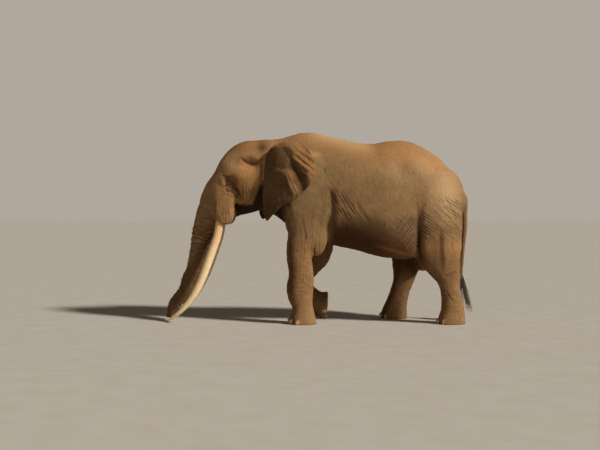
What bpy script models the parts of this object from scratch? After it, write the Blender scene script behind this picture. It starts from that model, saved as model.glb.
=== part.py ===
"""A bull African savanna elephant, life size, standing in mid stride.

The animal faces -X with its left side to -Y, +Z is up and the floor is z = 0.
All lengths are in metres.  The body is described once, as a smooth blend of
limbs (oval sections along a curved axis) and rounded masses (ellipsoids), is
skinned as a whole and then parted with thin cuts into the parts a person
would name.
"""
import math

import bpy
import bmesh
import numpy as np
from mathutils import Matrix, Vector

# ---------------------------------------------------------------- main sizes
SHOULDER_HEIGHT = 3.30      # floor to the top of the withers
BODY_X = -0.3203            # moves the animal so that its box is centred on x = 0
FLOOR = 0.0
SKIN_VOXEL = 0.036          # grain of the first skin, before it is thinned
BODY_TRIANGLES = 3500       # triangles left on the flesh after thinning
CUT = 0.0006                # width of the cuts that part the body
EYE_RADIUS = 0.021
EYE_AT = (-1.184, 2.388)    # x, z of the eye in the side view
TUSK_SOCKET = 0.0010        # clearance round a tusk where it enters its sheath
EAR_THICK_ROOT = 0.050
EAR_THICK_RIM = 0.016

# ------------------------------------------------- limbs: rows of oval sections
# Each row: x, z of the section's centre, half depth in the side view,
# distance from the midplane, half width across, roundness exponent.

FORELEG_TOP = [
    (0.09, 2.78, 0.27, 0.33, 0.16, 2.1),     # shoulder blade
    (0.12, 2.35, 0.38, 0.385, 0.20, 2.1),
    (0.14, 1.98, 0.41, 0.405, 0.21, 2.2),    # point of the shoulder
]
FORELEG_STANDING = FORELEG_TOP + [
    (0.13, 1.72, 0.385, 0.415, 0.205, 2.2),
    (0.095, 1.50, 0.335, 0.42, 0.20, 2.2),   # elbow
    (0.015, 1.30, 0.250, 0.42, 0.195, 2.2),
    (-0.010, 1.12, 0.217, 0.42, 0.185, 2.2),
    (0.012, 0.92, 0.211, 0.42, 0.180, 2.2),
    (0.018, 0.78, 0.220, 0.42, 0.185, 2.2),
    (0.000, 0.60, 0.231, 0.415, 0.192, 2.2),  # wrist
    (0.010, 0.45, 0.216, 0.415, 0.182, 2.2),
    (0.036, 0.31, 0.180, 0.41, 0.176, 2.2),
    (0.048, 0.20, 0.193, 0.41, 0.196, 2.3),
    (0.045, 0.10, 0.222, 0.41, 0.222, 2.3),   # foot
    (0.045, 0.00, 0.240, 0.41, 0.238, 2.3),
]
FORELEG_LIFTED = FORELEG_TOP + [
    (0.19, 1.72, 0.385, 0.415, 0.205, 2.2),
    (0.275, 1.47, 0.31, 0.42, 0.20, 2.2),
    (0.365, 1.25, 0.225, 0.42, 0.19, 2.2),    # elbow
    (0.325, 1.07, 0.190, 0.42, 0.182, 2.2),
    (0.222, 0.944, 0.172, 0.42, 0.175, 2.2),
    (0.125, 0.831, 0.170, 0.42, 0.172, 2.2),
    (0.035, 0.725, 0.178, 0.42, 0.175, 2.2),
    (-0.020, 0.650, 0.188, 0.42, 0.180, 2.2),  # flexed wrist
]
FOREFOOT_LIFTED = [
    (-0.025, 0.645, 0.175, 0.42, 0.180, 2.2),
    (0.050, 0.540, 0.176, 0.42, 0.178, 2.2),
    (0.150, 0.430, 0.172, 0.415, 0.178, 2.2),
    (0.255, 0.335, 0.186, 0.41, 0.190, 2.2),
    (0.345, 0.275, 0.218, 0.41, 0.210, 2.2),
    (0.420, 0.245, 0.240, 0.41, 0.226, 2.3),
    (0.468, 0.240, 0.234, 0.41, 0.222, 2.3),   # sole, turned backward
]
HINDLEG_BACK = [
    (2.22, 2.48, 0.40, 0.25, 0.24, 2.1),      # hip
    (2.275, 2.10, 0.455, 0.30, 0.26, 2.1),
    (2.33, 1.75, 0.450, 0.34, 0.262, 2.2),    # thigh
    (2.364, 1.43, 0.404, 0.37, 0.245, 2.2),
    (2.402, 1.15, 0.368, 0.39, 0.222, 2.2),   # knee
    (2.474, 0.95, 0.288, 0.40, 0.198, 2.2),
    (2.534, 0.77, 0.212, 0.41, 0.174, 2.2),
    (2.560, 0.62, 0.174, 0.41, 0.158, 2.2),
    (2.583, 0.48, 0.173, 0.41, 0.156, 2.2),   # hock
    (2.602, 0.34, 0.186, 0.41, 0.162, 2.2),
    (2.612, 0.20, 0.206, 0.41, 0.174, 2.3),
    (2.600, 0.10, 0.228, 0.41, 0.188, 2.3),
    (2.588, 0.00, 0.245, 0.41, 0.194, 2.3),
]
HINDLEG_FORWARD = [
    (2.21, 2.48, 0.40, 0.25, 0.24, 2.1),
    (2.19, 2.10, 0.455, 0.30, 0.26, 2.1),
    (2.13, 1.75, 0.445, 0.34, 0.262, 2.2),
    (2.045, 1.43, 0.405, 0.37, 0.245, 2.2),
    (1.965, 1.15, 0.350, 0.39, 0.222, 2.2),
    (1.900, 0.95, 0.262, 0.40, 0.198, 2.2),
    (1.872, 0.79, 0.210, 0.41, 0.178, 2.2),
    (1.845, 0.66, 0.184, 0.41, 0.160, 2.2),
    (1.805, 0.54, 0.173, 0.41, 0.156, 2.2),
    (1.768, 0.42, 0.178, 0.41, 0.160, 2.2),
    (1.738, 0.30, 0.190, 0.41, 0.166, 2.2),
    (1.712, 0.20, 0.206, 0.41, 0.176, 2.3),
    (1.690, 0.10, 0.228, 0.41, 0.188, 2.3),
    (1.676, 0.00, 0.245, 0.41, 0.194, 2.3),
]
# The head from the nape to the root of the trunk: the section turns with it.
HEAD = [
    (-0.45, 2.545, 0.590, 0.0, 0.40, 2.1),
    (-0.74, 2.580, 0.570, 0.0, 0.40, 2.2),
    (-0.955, 2.560, 0.534, 0.0, 0.385, 2.3),  # crown
    (-1.100, 2.490, 0.445, 0.0, 0.360, 2.3),
    (-1.205, 2.408, 0.370, 0.0, 0.330, 2.3),  # forehead
    (-1.295, 2.328, 0.322, 0.0, 0.300, 2.3),
    (-1.378, 2.252, 0.298, 0.0, 0.270, 2.2),
    (-1.450, 2.170, 0.262, 0.0, 0.245, 2.2),
    (-1.520, 2.035, 0.230, 0.0, 0.225, 2.1),
]
TRUNK = [
    (-1.400, 2.270, 0.240, 0.0, 0.240, 2.2),
    (-1.515, 2.035, 0.230, 0.0, 0.222, 2.1),
    (-1.612, 1.830, 0.214, 0.0, 0.205, 2.1),
    (-1.660, 1.675, 0.203, 0.0, 0.193, 2.1),
    (-1.698, 1.455, 0.205, 0.0, 0.186, 2.1),
    (-1.735, 1.282, 0.186, 0.0, 0.175, 2.1),
    (-1.773, 1.120, 0.174, 0.0, 0.165, 2.1),
    (-1.815, 0.980, 0.162, 0.0, 0.154, 2.1),
    (-1.870, 0.830, 0.152, 0.0, 0.143, 2.1),
    (-1.933, 0.698, 0.144, 0.0, 0.132, 2.1),
    (-2.008, 0.508, 0.132, 0.0, 0.119, 2.1),
    (-2.096, 0.404, 0.122, 0.0, 0.108, 2.1),
    (-2.208, 0.285, 0.099, 0.0, 0.094, 2.1),
    (-2.264, 0.192, 0.068, 0.0, 0.080, 2.1),
    (-2.270, 0.100, 0.056, 0.0, 0.070, 2.1),
]
TUSK_SHEATH = [
    (-1.290, 2.380, 0.185, 0.182, 0.120, 2.2),
    (-1.305, 2.150, 0.190, 0.226, 0.132, 2.2),
    (-1.308, 1.980, 0.184, 0.262, 0.134, 2.2),
    (-1.308, 1.850, 0.176, 0.284, 0.126, 2.3),
    (-1.312, 1.775, 0.160, 0.290, 0.114, 2.3),
    (-1.318, 1.735, 0.136, 0.292, 0.100, 2.3),
]
LOWER_JAW = [
    (-0.700, 2.120, 0.170, 0.0, 0.255, 2.3),
    (-0.840, 2.055, 0.160, 0.0, 0.250, 2.3),
    (-0.980, 1.985, 0.128, 0.0, 0.205, 2.3),
    (-1.080, 1.935, 0.100, 0.0, 0.150, 2.2),
    (-1.165, 1.880, 0.080, 0.0, 0.095, 2.1),
    (-1.205, 1.850, 0.056, 0.0, 0.060, 2.0),
]
TAIL = [
    (2.630, 2.430, 0.105, 0.0, 0.110, 2.0),
    (2.775, 2.230, 0.092, 0.0, 0.090, 2.0),
    (2.848, 2.040, 0.068, 0.0, 0.066, 2.0),
    (2.872, 1.830, 0.054, 0.0, 0.052, 2.0),
    (2.870, 1.560, 0.046, 0.0, 0.044, 2.0),
    (2.847, 1.280, 0.039, 0.0, 0.037, 2.0),
    (2.830, 1.000, 0.033, 0.0, 0.031, 2.0),
    (2.820, 0.780, 0.028, 0.0, 0.027, 2.0),
    (2.828, 0.600, 0.024, 0.0, 0.024, 2.0),
]
TAIL_TUFT = [
    (2.828, 0.640, 0.030, 0.0, 0.030, 2.0),
    (2.834, 0.520, 0.044, 0.0, 0.032, 2.0),
    (2.848, 0.380, 0.054, 0.0, 0.034, 2.0),
    (2.880, 0.240, 0.050, 0.0, 0.032, 2.0),
    (2.925, 0.140, 0.036, 0.0, 0.026, 2.0),
    (2.955, 0.095, 0.018, 0.0, 0.016, 2.0),
]
TUSK = [
    (-1.360, 1.880, 0.066, 0.270, 0.066, 2.0),
    (-1.384, 1.700, 0.069, 0.288, 0.069, 2.0),
    (-1.423, 1.490, 0.070, 0.318, 0.070, 2.0),
    (-1.484, 1.300, 0.070, 0.342, 0.070, 2.0),
    (-1.541, 1.135, 0.069, 0.358, 0.069, 2.0),
    (-1.601, 0.965, 0.067, 0.368, 0.067, 2.0),
    (-1.663, 0.805, 0.064, 0.372, 0.064, 2.0),
    (-1.749, 0.620, 0.060, 0.370, 0.060, 2.0),
    (-1.835, 0.465, 0.055, 0.362, 0.055, 2.0),
    (-1.945, 0.320, 0.048, 0.348, 0.048, 2.0),
    (-2.065, 0.190, 0.038, 0.328, 0.038, 2.0),
    (-2.180, 0.098, 0.026, 0.306, 0.026, 2.0),
    (-2.255, 0.052, 0.012, 0.292, 0.012, 2.0),
]
# The trunk of the body from the neck to the rump.  Each row: x, height of the
# back, height of the underside, half width, height of the widest place,
# exponent of the back, exponent of the belly.
TORSO = [
    (-0.85, 3.08, 2.02, 0.283, 2.56, 2.1, 2.1),
    (-0.62, 3.14, 1.92, 0.350, 2.50, 2.1, 2.1),
    (-0.42, 3.165, 1.83, 0.397, 2.42, 2.0, 2.1),
    (-0.20, 3.225, 1.66, 0.449, 2.32, 1.9, 2.1),
    (0.00, 3.280, 1.52, 0.491, 2.22, 1.80, 2.2),
    (0.14, 3.285, 1.45, 0.520, 2.14, 1.80, 2.2),
    (0.38, 3.250, 1.375, 0.567, 2.04, 1.80, 2.3),
    (0.65, 3.182, 1.310, 0.619, 1.95, 1.9, 2.3),
    (0.95, 3.120, 1.245, 0.657, 1.90, 1.95, 2.3),
    (1.25, 3.085, 1.160, 0.671, 1.88, 1.95, 2.3),
    (1.50, 3.130, 1.105, 0.661, 1.90, 1.9, 2.3),
    (1.75, 3.150, 1.110, 0.624, 1.95, 1.80, 2.3),
    (2.00, 3.095, 1.150, 0.567, 2.02, 1.80, 2.3),
    (2.25, 2.955, 1.320, 0.501, 2.08, 1.9, 2.2),
    (2.48, 2.785, 1.500, 0.425, 2.10, 2.0, 2.2),
    (2.65, 2.570, 1.680, 0.340, 2.10, 2.0, 2.1),
    (2.785, 2.360, 1.840, 0.227, 2.09, 2.0, 2.0),
    (2.855, 2.200, 1.960, 0.123, 2.08, 2.0, 2.0),
]
# Rounded masses added to the limbs: name, centre x, distance from midplane,
# z, three half sizes (along, across, up), tilt in the side view in degrees,
# how softly it blends.
MASSES = [
    ("temple", -1.010, 0.275, 2.545, 0.250, 0.145, 0.165, 12, 0.10),
    ("brow", -1.235, 0.245, 2.500, 0.150, 0.105, 0.085, -28, 0.09),
    ("cheek", -0.925, 0.215, 2.255, 0.190, 0.165, 0.245, 8, 0.10),
    ("crown", -0.900, 0.145, 2.840, 0.270, 0.220, 0.262, 0, 0.10),
    ("elbow", 0.330, 0.410, 1.430, 0.130, 0.120, 0.275, 10, 0.07),
    ("shoulder_point", -0.100, 0.350, 2.020, 0.180, 0.190, 0.300, 0, 0.14),
    ("hip_bone", 1.950, 0.330, 2.640, 0.220, 0.170, 0.160, 0, 0.16),
    ("rump", 2.475, 0.200, 2.180, 0.328, 0.240, 0.440, 12, 0.14),
    ("flank", 1.780, 0.330, 1.420, 0.330, 0.280, 0.320, 0, 0.14),
    ("groin", 2.130, 0.180, 1.050, 0.150, 0.140, 0.165, 0, 0.09),
    ("finger_front", -2.316, 0.0, 0.088, 0.026, 0.030, 0.044, 0, 0.03),
    ("finger_rear", -2.232, 0.0, 0.082, 0.020, 0.034, 0.030, 0, 0.03),
]
# Hollows taken out of it, in the same terms.
HOLLOWS = [
    ("temple_hollow", -0.850, 0.455, 2.745, 0.160, 0.130, 0.078, 12, 0.09),
    ("eye_socket", -1.205, 0.425, 2.435, 0.115, 0.076, 0.090, -20, 0.06),
    ("below_cheek", -1.100, 0.370, 1.970, 0.060, 0.062, 0.075, 0, 0.08),
    ("thigh_front", 2.008, 0.640, 1.440, 0.056, 0.138, 0.500, 1, 0.09),
    ("behind_jaw", -0.700, 0.440, 2.200, 0.100, 0.100, 0.260, 12, 0.08),
    ("hunger_hollow", 1.850, 0.800, 2.330, 0.300, 0.190, 0.260, 0, 0.20),
    ("between_forelegs", 0.050, 0.000, 1.300, 0.260, 0.160, 0.200, 0, 0.10),
    ("nostril", -2.270, 0.028, 0.060, 0.018, 0.014, 0.055, 0, 0.012),
]


# ------------------------------------------------------------------ geometry
def smooth_rows(rows, step):
    """Rows read as a smooth curve through them, about `step` apart."""
    rows = np.asarray(rows, float)
    gaps = np.linalg.norm(np.diff(rows[:, :3], axis=0), axis=1)
    at = np.concatenate([[0.0], np.cumsum(gaps)])
    slope = np.empty_like(rows)
    rate = np.diff(rows, axis=0) / gaps[:, None]
    slope[0], slope[-1] = rate[0], rate[-1]
    w = gaps[1:, None], gaps[:-1, None]
    slope[1:-1] = (rate[:-1] * w[0] + rate[1:] * w[1]) / (w[0] + w[1])
    t = np.linspace(0.0, at[-1], max(int(at[-1] / step), 8) + 1)
    i = np.clip(np.searchsorted(at, t, side="right") - 1, 0, len(gaps) - 1)
    h = gaps[i][:, None]
    u = ((t - at[i]) / gaps[i])[:, None]
    return (
        (1 + 2 * u) * (1 - u) ** 2 * rows[i]
        + u * (1 - u) ** 2 * h * slope[i]
        + u * u * (3 - 2 * u) * rows[i + 1]
        + u * u * (u - 1) * h * slope[i + 1]
    )


class Limb:
    """Oval sections square to a curved axis that lies in a side-view plane."""

    def __init__(self, rows, side=0, blend=0.08, caps=(0.1, 0.1), step=0.03):
        r = np.asarray(rows, float)
        y = r[:, 3] * (side if side else 1)
        r = np.column_stack([r[:, 0], y, r[:, 1], r[:, 4], r[:, 2], r[:, 2], r[:, 5], r[:, 5]])
        self.set_rows(smooth_rows(r, step), blend, caps)

    def set_rows(self, r, blend, caps):
        self.at = r[:, :3]
        self.blend, self.caps = blend, caps
        tangent = np.gradient(self.at, axis=0)
        self.tangent = tangent / np.linalg.norm(tangent, axis=1)[:, None]
        t = self.tangent
        across = np.array([0.0, 1.0, 0.0]) - t[:, 1:2] * t
        self.across = across / np.linalg.norm(across, axis=1)[:, None]
        self.depthwise = np.cross(t, self.across)
        self.size = r[:, 3:]          # across, depth +, depth -, exponents + and -
        reach = np.maximum(self.size[:, 0], self.size[:, 1:3].max(1))[:, None]
        self.low = (self.at - reach).min(0)
        self.high = (self.at + reach).max(0)

    def nearest(self, p):
        """The section nearest to each point."""
        return ((p[:, None, :] - self.at[None]) ** 2).sum(2).argmin(1)

    def distance(self, p):
        """Roughly the signed distance from each point to the limb's surface."""
        i = self.nearest(p)
        along = ((p - self.at[i]) * self.tangent[i]).sum(1)
        j = np.clip(i + np.where(along > 0, 1, -1), 0, len(self.at) - 1)
        past = ((p - self.at[j]) * self.tangent[j]).sum(1)
        span = along - past
        f = np.where(j != i, np.clip(along / np.where(np.abs(span) > 1e-9, span, 1e9), 0, 1), 0)[:, None]
        at = self.at[i] * (1 - f) + self.at[j] * f
        across = self.across[i] * (1 - f) + self.across[j] * f
        deep = self.depthwise[i] * (1 - f) + self.depthwise[j] * f
        size = self.size[i] * (1 - f) + self.size[j] * f
        q = p - at
        u, v = (q * across).sum(1), (q * deep).sum(1)
        t = self.tangent[i] * (1 - f) + self.tangent[j] * f
        w = (q * t).sum(1)
        cap = np.where(i <= 0, self.caps[0], self.caps[1])
        w = np.where((i == 0) | (i == len(self.at) - 1), w, 0.0)
        b = np.where(v > 0, size[:, 1], size[:, 2])
        n = np.where(v > 0, size[:, 3], size[:, 4])
        a = size[:, 0]
        u, v, w = np.abs(u) + 1e-9, np.abs(v) + 1e-9, np.abs(w)
        rho = ((u / a) ** n + (v / b) ** n + (w / cap) ** n) ** (1 / n)
        slope = rho ** (1 - n) * np.sqrt(
            (u ** (n - 1) / a**n) ** 2 + (v ** (n - 1) / b**n) ** 2 + (w ** (n - 1) / cap**n) ** 2
        )
        return (rho - 1) / np.maximum(slope, 0.2 / np.maximum(a, b))

    def mesh(self, bm, sides=24):
        """A closed tube through the sections."""
        rings = []
        for at, across, deep, size in zip(self.at, self.across, self.depthwise, self.size):
            ring = []
            for k in range(sides):
                c, s = math.cos(2 * math.pi * k / sides), math.sin(2 * math.pi * k / sides)
                b, n = (size[1], size[3]) if s > 0 else (size[2], size[4])
                u = size[0] * math.copysign(abs(c) ** (2 / n), c)
                v = b * math.copysign(abs(s) ** (2 / n), s)
                ring.append(bm.verts.new(Vector(at + across * u + deep * v)))
            rings.append(ring)
        for one, two in zip(rings, rings[1:]):
            for k in range(sides):
                m = (k + 1) % sides
                bm.faces.new((one[k], one[m], two[m], two[k]))
        bm.faces.new(rings[0][::-1])
        bm.faces.new(rings[-1])


class Torso(Limb):
    """The barrel of the body: its axis runs level, its back and belly differ."""

    def __init__(self, rows, blend):
        r = np.asarray(rows, float)
        r = np.column_stack(
            [r[:, 0], 0 * r[:, 0], r[:, 4], r[:, 3], r[:, 1] - r[:, 4], r[:, 4] - r[:, 2], r[:, 5], r[:, 6]]
        )
        self.set_rows(smooth_rows(r, 0.05), blend, (0.08, 0.06))
        count = len(self.at)
        self.tangent = np.tile([1.0, 0.0, 0.0], (count, 1))
        self.across = np.tile([0.0, 1.0, 0.0], (count, 1))
        self.depthwise = np.tile([0.0, 0.0, 1.0], (count, 1))

    def nearest(self, p):
        return np.abs(p[:, :1] - self.at[None, :, 0]).argmin(1)


class Mass:
    """An ellipsoid, tilted in the side view."""

    def __init__(self, x, y, z, sizes, tilt=0.0, blend=0.08):
        self.at = np.array([x, y, z])
        self.size = np.array(sizes, float)
        a = math.radians(tilt)
        self.turn = np.array([[math.cos(a), 0, -math.sin(a)], [0, 1, 0], [math.sin(a), 0, math.cos(a)]])
        self.blend = blend
        reach = self.size.max()
        self.low, self.high = self.at - reach, self.at + reach

    def distance(self, p):
        q = (p - self.at) @ self.turn.T
        k0 = np.linalg.norm(q / self.size, axis=1)
        k1 = np.linalg.norm(q / self.size**2, axis=1)
        return k0 * (k0 - 1) / np.maximum(k1, 1e-6)

    def mesh(self, bm, sides=20):
        place = Matrix(self.turn.T.tolist()).to_4x4()
        place.translation = Vector(self.at)
        bmesh.ops.create_uvsphere(
            bm, u_segments=sides, v_segments=sides // 2, radius=1.0,
            matrix=place @ Matrix.Diagonal((*self.size, 1.0)),
        )


def both_sides(table, kind):
    made = []
    for name, x, y, z, along, over, up, tilt, blend in table:
        for side in (-1, 1) if y else (1,):
            made.append(kind(x, side * y, z, (along, over, up), tilt, blend))
    return made


def body_shapes():
    """All that is blended into the flesh of the body, and all taken from it."""
    solids = [
        Torso(TORSO, 0.10),
        Limb(HEAD, 0, 0.08, (0.1, 0.12)),
        Limb(TRUNK, 0, 0.06, (0.1, 0.05)),
        Limb(LOWER_JAW, 0, 0.06, (0.1, 0.05), 0.02),
        Limb(FORELEG_STANDING, -1, 0.09, (0.12, 0.012)),
        Limb(FORELEG_LIFTED, 1, 0.09, (0.12, 0.15)),
        Limb(FOREFOOT_LIFTED, 1, 0.07, (0.14, 0.03), 0.02),
        Limb(HINDLEG_BACK, -1, 0.12, (0.14, 0.012)),
        Limb(HINDLEG_FORWARD, 1, 0.12, (0.14, 0.012)),
        Limb(TUSK_SHEATH, -1, 0.12, (0.12, 0.035), 0.02),
        Limb(TUSK_SHEATH, 1, 0.12, (0.12, 0.035), 0.02),
    ] + both_sides(MASSES, Mass)
    return solids, both_sides(HOLLOWS, Mass)


def near(shape, p, margin):
    return ((p > shape.low - margin) & (p < shape.high + margin)).all(1)


def blend(shapes, hollows, p):
    """Signed distance to the smooth blend of the shapes, less the hollows."""
    d = np.full(len(p), 1.0)
    for s in shapes:
        m = near(s, p, 0.30)
        if m.any():
            a, b = d[m], s.distance(p[m])
            h = np.maximum(s.blend - np.abs(a - b), 0.0) / s.blend
            d[m] = np.minimum(a, b) - h * h * s.blend / 4
    for s in hollows:
        m = near(s, p, 0.15)
        if m.any():
            a, b = d[m], -s.distance(p[m])
            h = np.maximum(s.blend - np.abs(a - b), 0.0) / s.blend
            d[m] = np.maximum(a, b) + h * h * s.blend / 4
    # the soles are flat on the floor, with a rounded edge
    a, b = d, FLOOR - p[:, 2]
    k = 0.02
    h = np.maximum(k - np.abs(a - b), 0.0) / k
    return np.maximum(a, b) + h * h * k / 4


def mesh_arrays(mesh):
    mesh.calc_loop_triangles()
    co = np.empty(len(mesh.vertices) * 3)
    mesh.vertices.foreach_get("co", co)
    tri = np.empty(len(mesh.loop_triangles) * 3, np.int32)
    mesh.loop_triangles.foreach_get("vertices", tri)
    edge = np.empty(len(mesh.edges) * 2, np.int32)
    mesh.edges.foreach_get("vertices", edge)
    return co.reshape(-1, 3), tri.reshape(-1, 3), edge.reshape(-1, 2)


def vertex_normals(co, tri):
    a, b, c = co[tri[:, 0]], co[tri[:, 1]], co[tri[:, 2]]
    n = np.cross(b - a, c - a)
    out = np.zeros_like(co)
    for k in range(3):
        for axis in range(3):
            out[:, axis] += np.bincount(tri[:, k], n[:, axis], len(co))
    return out / np.maximum(np.linalg.norm(out, axis=1), 1e-12)[:, None]


def neighbour_mean(co, edge):
    total, count = np.zeros_like(co), np.bincount(edge.ravel(), minlength=len(co))
    for one, two in ((0, 1), (1, 0)):
        for axis in range(3):
            total[:, axis] += np.bincount(edge[:, one], co[edge[:, two], axis], len(co))
    return total / np.maximum(count, 1)[:, None]


def settle(mesh, field, rounds, slide=0.5):
    """Moves a mesh's vertices onto the field's surface, evening them out."""
    co, tri, edge = mesh_arrays(mesh)
    for k in range(rounds):
        n = vertex_normals(co, tri)
        co -= n * np.clip(field(co), -0.03, 0.03)[:, None]
        if k < rounds - 1:
            pull = neighbour_mean(co, edge) - co
            co += slide * (pull - n * (pull * n).sum(1)[:, None])
    co[np.abs(co[:, 2] - FLOOR) < 0.006, 2] = FLOOR
    mesh.vertices.foreach_set("co", co.ravel())
    mesh.update()


# ------------------------------------------------------------ feet and toes
# Each foot: name, centre of the sole, half length, half width, direction the
# sole faces, direction the toes face, number of toes, how far round they go.
FEET = [
    ("forefoot_left", (0.045, -0.41, 0.0), 0.234, 0.234, (0, 0, -1), (-1, 0, 0), 5, 66),
    ("forefoot_right", (0.478, 0.41, 0.240), 0.230, 0.222, (1, 0, 0), (0, 0, -1), 5, 66),
    ("hindfoot_left", (2.588, -0.41, 0.0), 0.240, 0.190, (0, 0, -1), (-1, 0, 0), 4, 50),
    ("hindfoot_right", (1.676, 0.41, 0.0), 0.240, 0.190, (0, 0, -1), (-1, 0, 0), 4, 50),
]


def toe_places(foot):
    """Where each toe of a foot lies, and which way it faces."""
    name, sole, half_long, half_wide, down, fore, count, spread = foot
    sole, down, fore = (np.array(v, float) for v in (sole, down, fore))
    across = np.cross(down, fore)
    for k in range(count):
        a = math.radians(spread * (2 * k / (count - 1) - 1))
        out = fore * math.cos(a) / half_long + across * math.sin(a) / half_wide
        rim = fore * math.cos(a) * half_long + across * math.sin(a) * half_wide
        yield sole + rim - 0.045 * down, out / np.linalg.norm(out), a


def toe_masses():
    made = []
    for foot in FEET:
        for at, out, a in toe_places(foot):
            x, y, z = at - 0.030 * out
            made.append(Mass(x, y, z, (0.046, 0.046, 0.050), 0, 0.03))
    return made


# ---------------------------------------------------------------------- ears
EAR_ROOT = [  # x, distance from midplane, z, from the top of the root down
    (-0.550, 0.375, 2.900), (-0.585, 0.405, 2.720), (-0.602, 0.415, 2.500),
    (-0.612, 0.405, 2.290), (-0.620, 0.370, 2.110),
]
EAR_RIM = [   # the rim, from the top round the back to the hanging lobe
    (-0.545, 0.405, 2.935), (-0.470, 0.430, 3.012), (-0.350, 0.450, 3.078),
    (-0.230, 0.462, 3.120), (-0.100, 0.485, 3.128), (0.020, 0.525, 3.088),
    (0.120, 0.580, 3.000), (0.195, 0.635, 2.880), (0.245, 0.678, 2.755),
    (0.272, 0.705, 2.600), (0.222, 0.705, 2.480), (0.145, 0.700, 2.352),
    (0.037, 0.690, 2.234), (-0.062, 0.680, 2.166), (-0.150, 0.665, 2.090),
    (-0.308, 0.635, 2.000), (-0.455, 0.590, 1.866), (-0.562, 0.545, 1.766),
    (-0.612, 0.500, 1.850), (-0.622, 0.440, 1.985), (-0.622, 0.385, 2.080),
]


def along(points, count):
    """`count` evenly spaced points on a smooth curve through the points."""
    p = np.asarray(points, float)
    fine = smooth_rows(p, 0.004)
    run = np.concatenate([[0], np.cumsum(np.linalg.norm(np.diff(fine, axis=0), axis=1))])
    t = np.linspace(0, run[-1], count)
    return np.column_stack([np.interp(t, run, fine[:, k]) for k in range(3)])


# The relief of the ear in the side view, x and z: the crest of the low fold,
# the ridge of the upper fold behind it, and the furrow between the two.
EAR_CREST = [(-0.56, 2.540), (-0.40, 2.620), (-0.27, 2.560), (-0.185, 2.390), (-0.115, 2.200), (-0.110, 2.000)]
EAR_RIDGE = [(-0.24, 3.060), (-0.13, 2.930), (-0.09, 2.780), (0.02, 2.660), (0.13, 2.560), (0.165, 2.430)]
EAR_FURROW = [(-0.16, 2.690), (-0.05, 2.570), (0.025, 2.440), (0.045, 2.290)]


def tent(far, width):
    """1 on a line, falling straight to 0 at `width` from it, with a soft top."""
    return np.clip(1.20 - np.hypot(far / width, 0.20), 0, 1)


def line_gap(line, x, z):
    """Distance of each point from a line in the side view, positive on the
    upper, rear side of it."""
    line = along([(a, 0.0, b) for a, b in line], 60)[:, [0, 2]]
    p = np.column_stack([np.ravel(x), np.ravel(z)])
    gap = ((p[:, None] - line[None]) ** 2).sum(2)
    k = gap.argmin(1)
    way, q = np.gradient(line, axis=0)[k], p - line[k]
    side = np.where(way[:, 0] * q[:, 1] - way[:, 1] * q[:, 0] > 0, 1.0, -1.0)
    return (side * np.sqrt(gap.min(1))).reshape(np.shape(x))


def ear_surface(side, columns, rows, fan=0.014):
    """The middle surface of an ear as a grid of points, root to rim."""
    root, rim = along(EAR_ROOT, columns), along(EAR_RIM, columns)
    s = np.linspace(0, 1, rows)[None, :, None]
    t = np.linspace(0, 1, columns)[:, None, None]
    grid = root[:, None] * (1 - s) + rim[:, None] * s
    x, z = grid[..., 0], grid[..., 2]
    # fuller near the root, with two big folds and small folds that fan out
    out = 0.020 * np.sin(np.pi * s[..., 0]) * np.sin(np.pi * t[..., 0]) ** 0.5
    edge = np.clip((1 - s[..., 0]) / 0.16, 0, 1) ** 0.7
    far = line_gap(EAR_CREST, x + 0.012 * np.sin(9.0 * z), z)
    narrow = np.clip((x + 0.48) / 0.34, 0, 1) ** 1.5
    ahead = 0.30 + 0.70 * np.clip((x + 0.56) / 0.18, 0, 1)
    out = out + 0.105 * ahead * edge * tent(far, np.where(far > 0, 0.420 - 0.250 * narrow, 0.420))
    pleat = np.sin(2 * np.pi * far / 0.056 + 1.6 * np.sin(8.0 * z)) * (0.65 + 0.35 * np.sin(11.0 * z + 1.0))
    pleat = np.where((far > 0) & (far < 0.17), pleat, 0.0) * np.clip((2.66 - z) / 0.15, 0, 1)
    out = out + 0.32 * fan * pleat
    far = line_gap(EAR_RIDGE, x + 0.014 * np.sin(11.0 * z), z)
    out = out + 0.085 * edge * tent(far, np.where(far > 0, 0.260, 0.360))
    out = out - 0.050 * np.exp(-((line_gap(EAR_FURROW, x, z) / 0.060) ** 2))
    slant = 0.60 * x + 0.80 * z + 0.10 * (x + 0.1) ** 2
    stripe = np.sin(2 * np.pi * slant / 0.094) + 0.35 * np.sin(2 * np.pi * slant / 0.041 + 9.0 * x)
    spot = np.exp(-(((x - 0.09) / 0.17) ** 2) - (((z - 2.76) / 0.21) ** 2))
    out = out + fan * stripe * spot * np.clip((s[..., 0] - 0.3) / 0.3, 0, 1)
    grid[..., 1] += out * np.clip(s[..., 0] / 0.15, 0, 1)
    if side > 0:                     # the right ear is held a little further forward
        grid[..., 0:1] -= 0.11 * s * np.clip((t - 0.35) / 0.5, 0, 1)
    grid[..., 1] *= side
    return grid


# ------------------------------------------------------------ building blocks
def material(name, colour, roughness, metallic=0.0):
    m = bpy.data.materials.new(name)
    m.use_nodes = True
    shader = m.node_tree.nodes["Principled BSDF"]
    shader.inputs["Base Color"].default_value = (*colour, 1.0)
    shader.inputs["Roughness"].default_value = roughness
    shader.inputs["Metallic"].default_value = metallic
    return m


def add_object(name, mesh, collection, colour, roughness):
    ob = bpy.data.objects.new(name, mesh)
    collection.objects.link(ob)
    mesh.materials.clear()
    mesh.materials.append(material(name + "_finish", colour, roughness))
    return ob


def evaluated(ob):
    """A new mesh with the object's modifiers applied."""
    bpy.context.view_layer.update()
    graph = bpy.context.evaluated_depsgraph_get()
    return bpy.data.meshes.new_from_object(ob.evaluated_get(graph))


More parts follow.
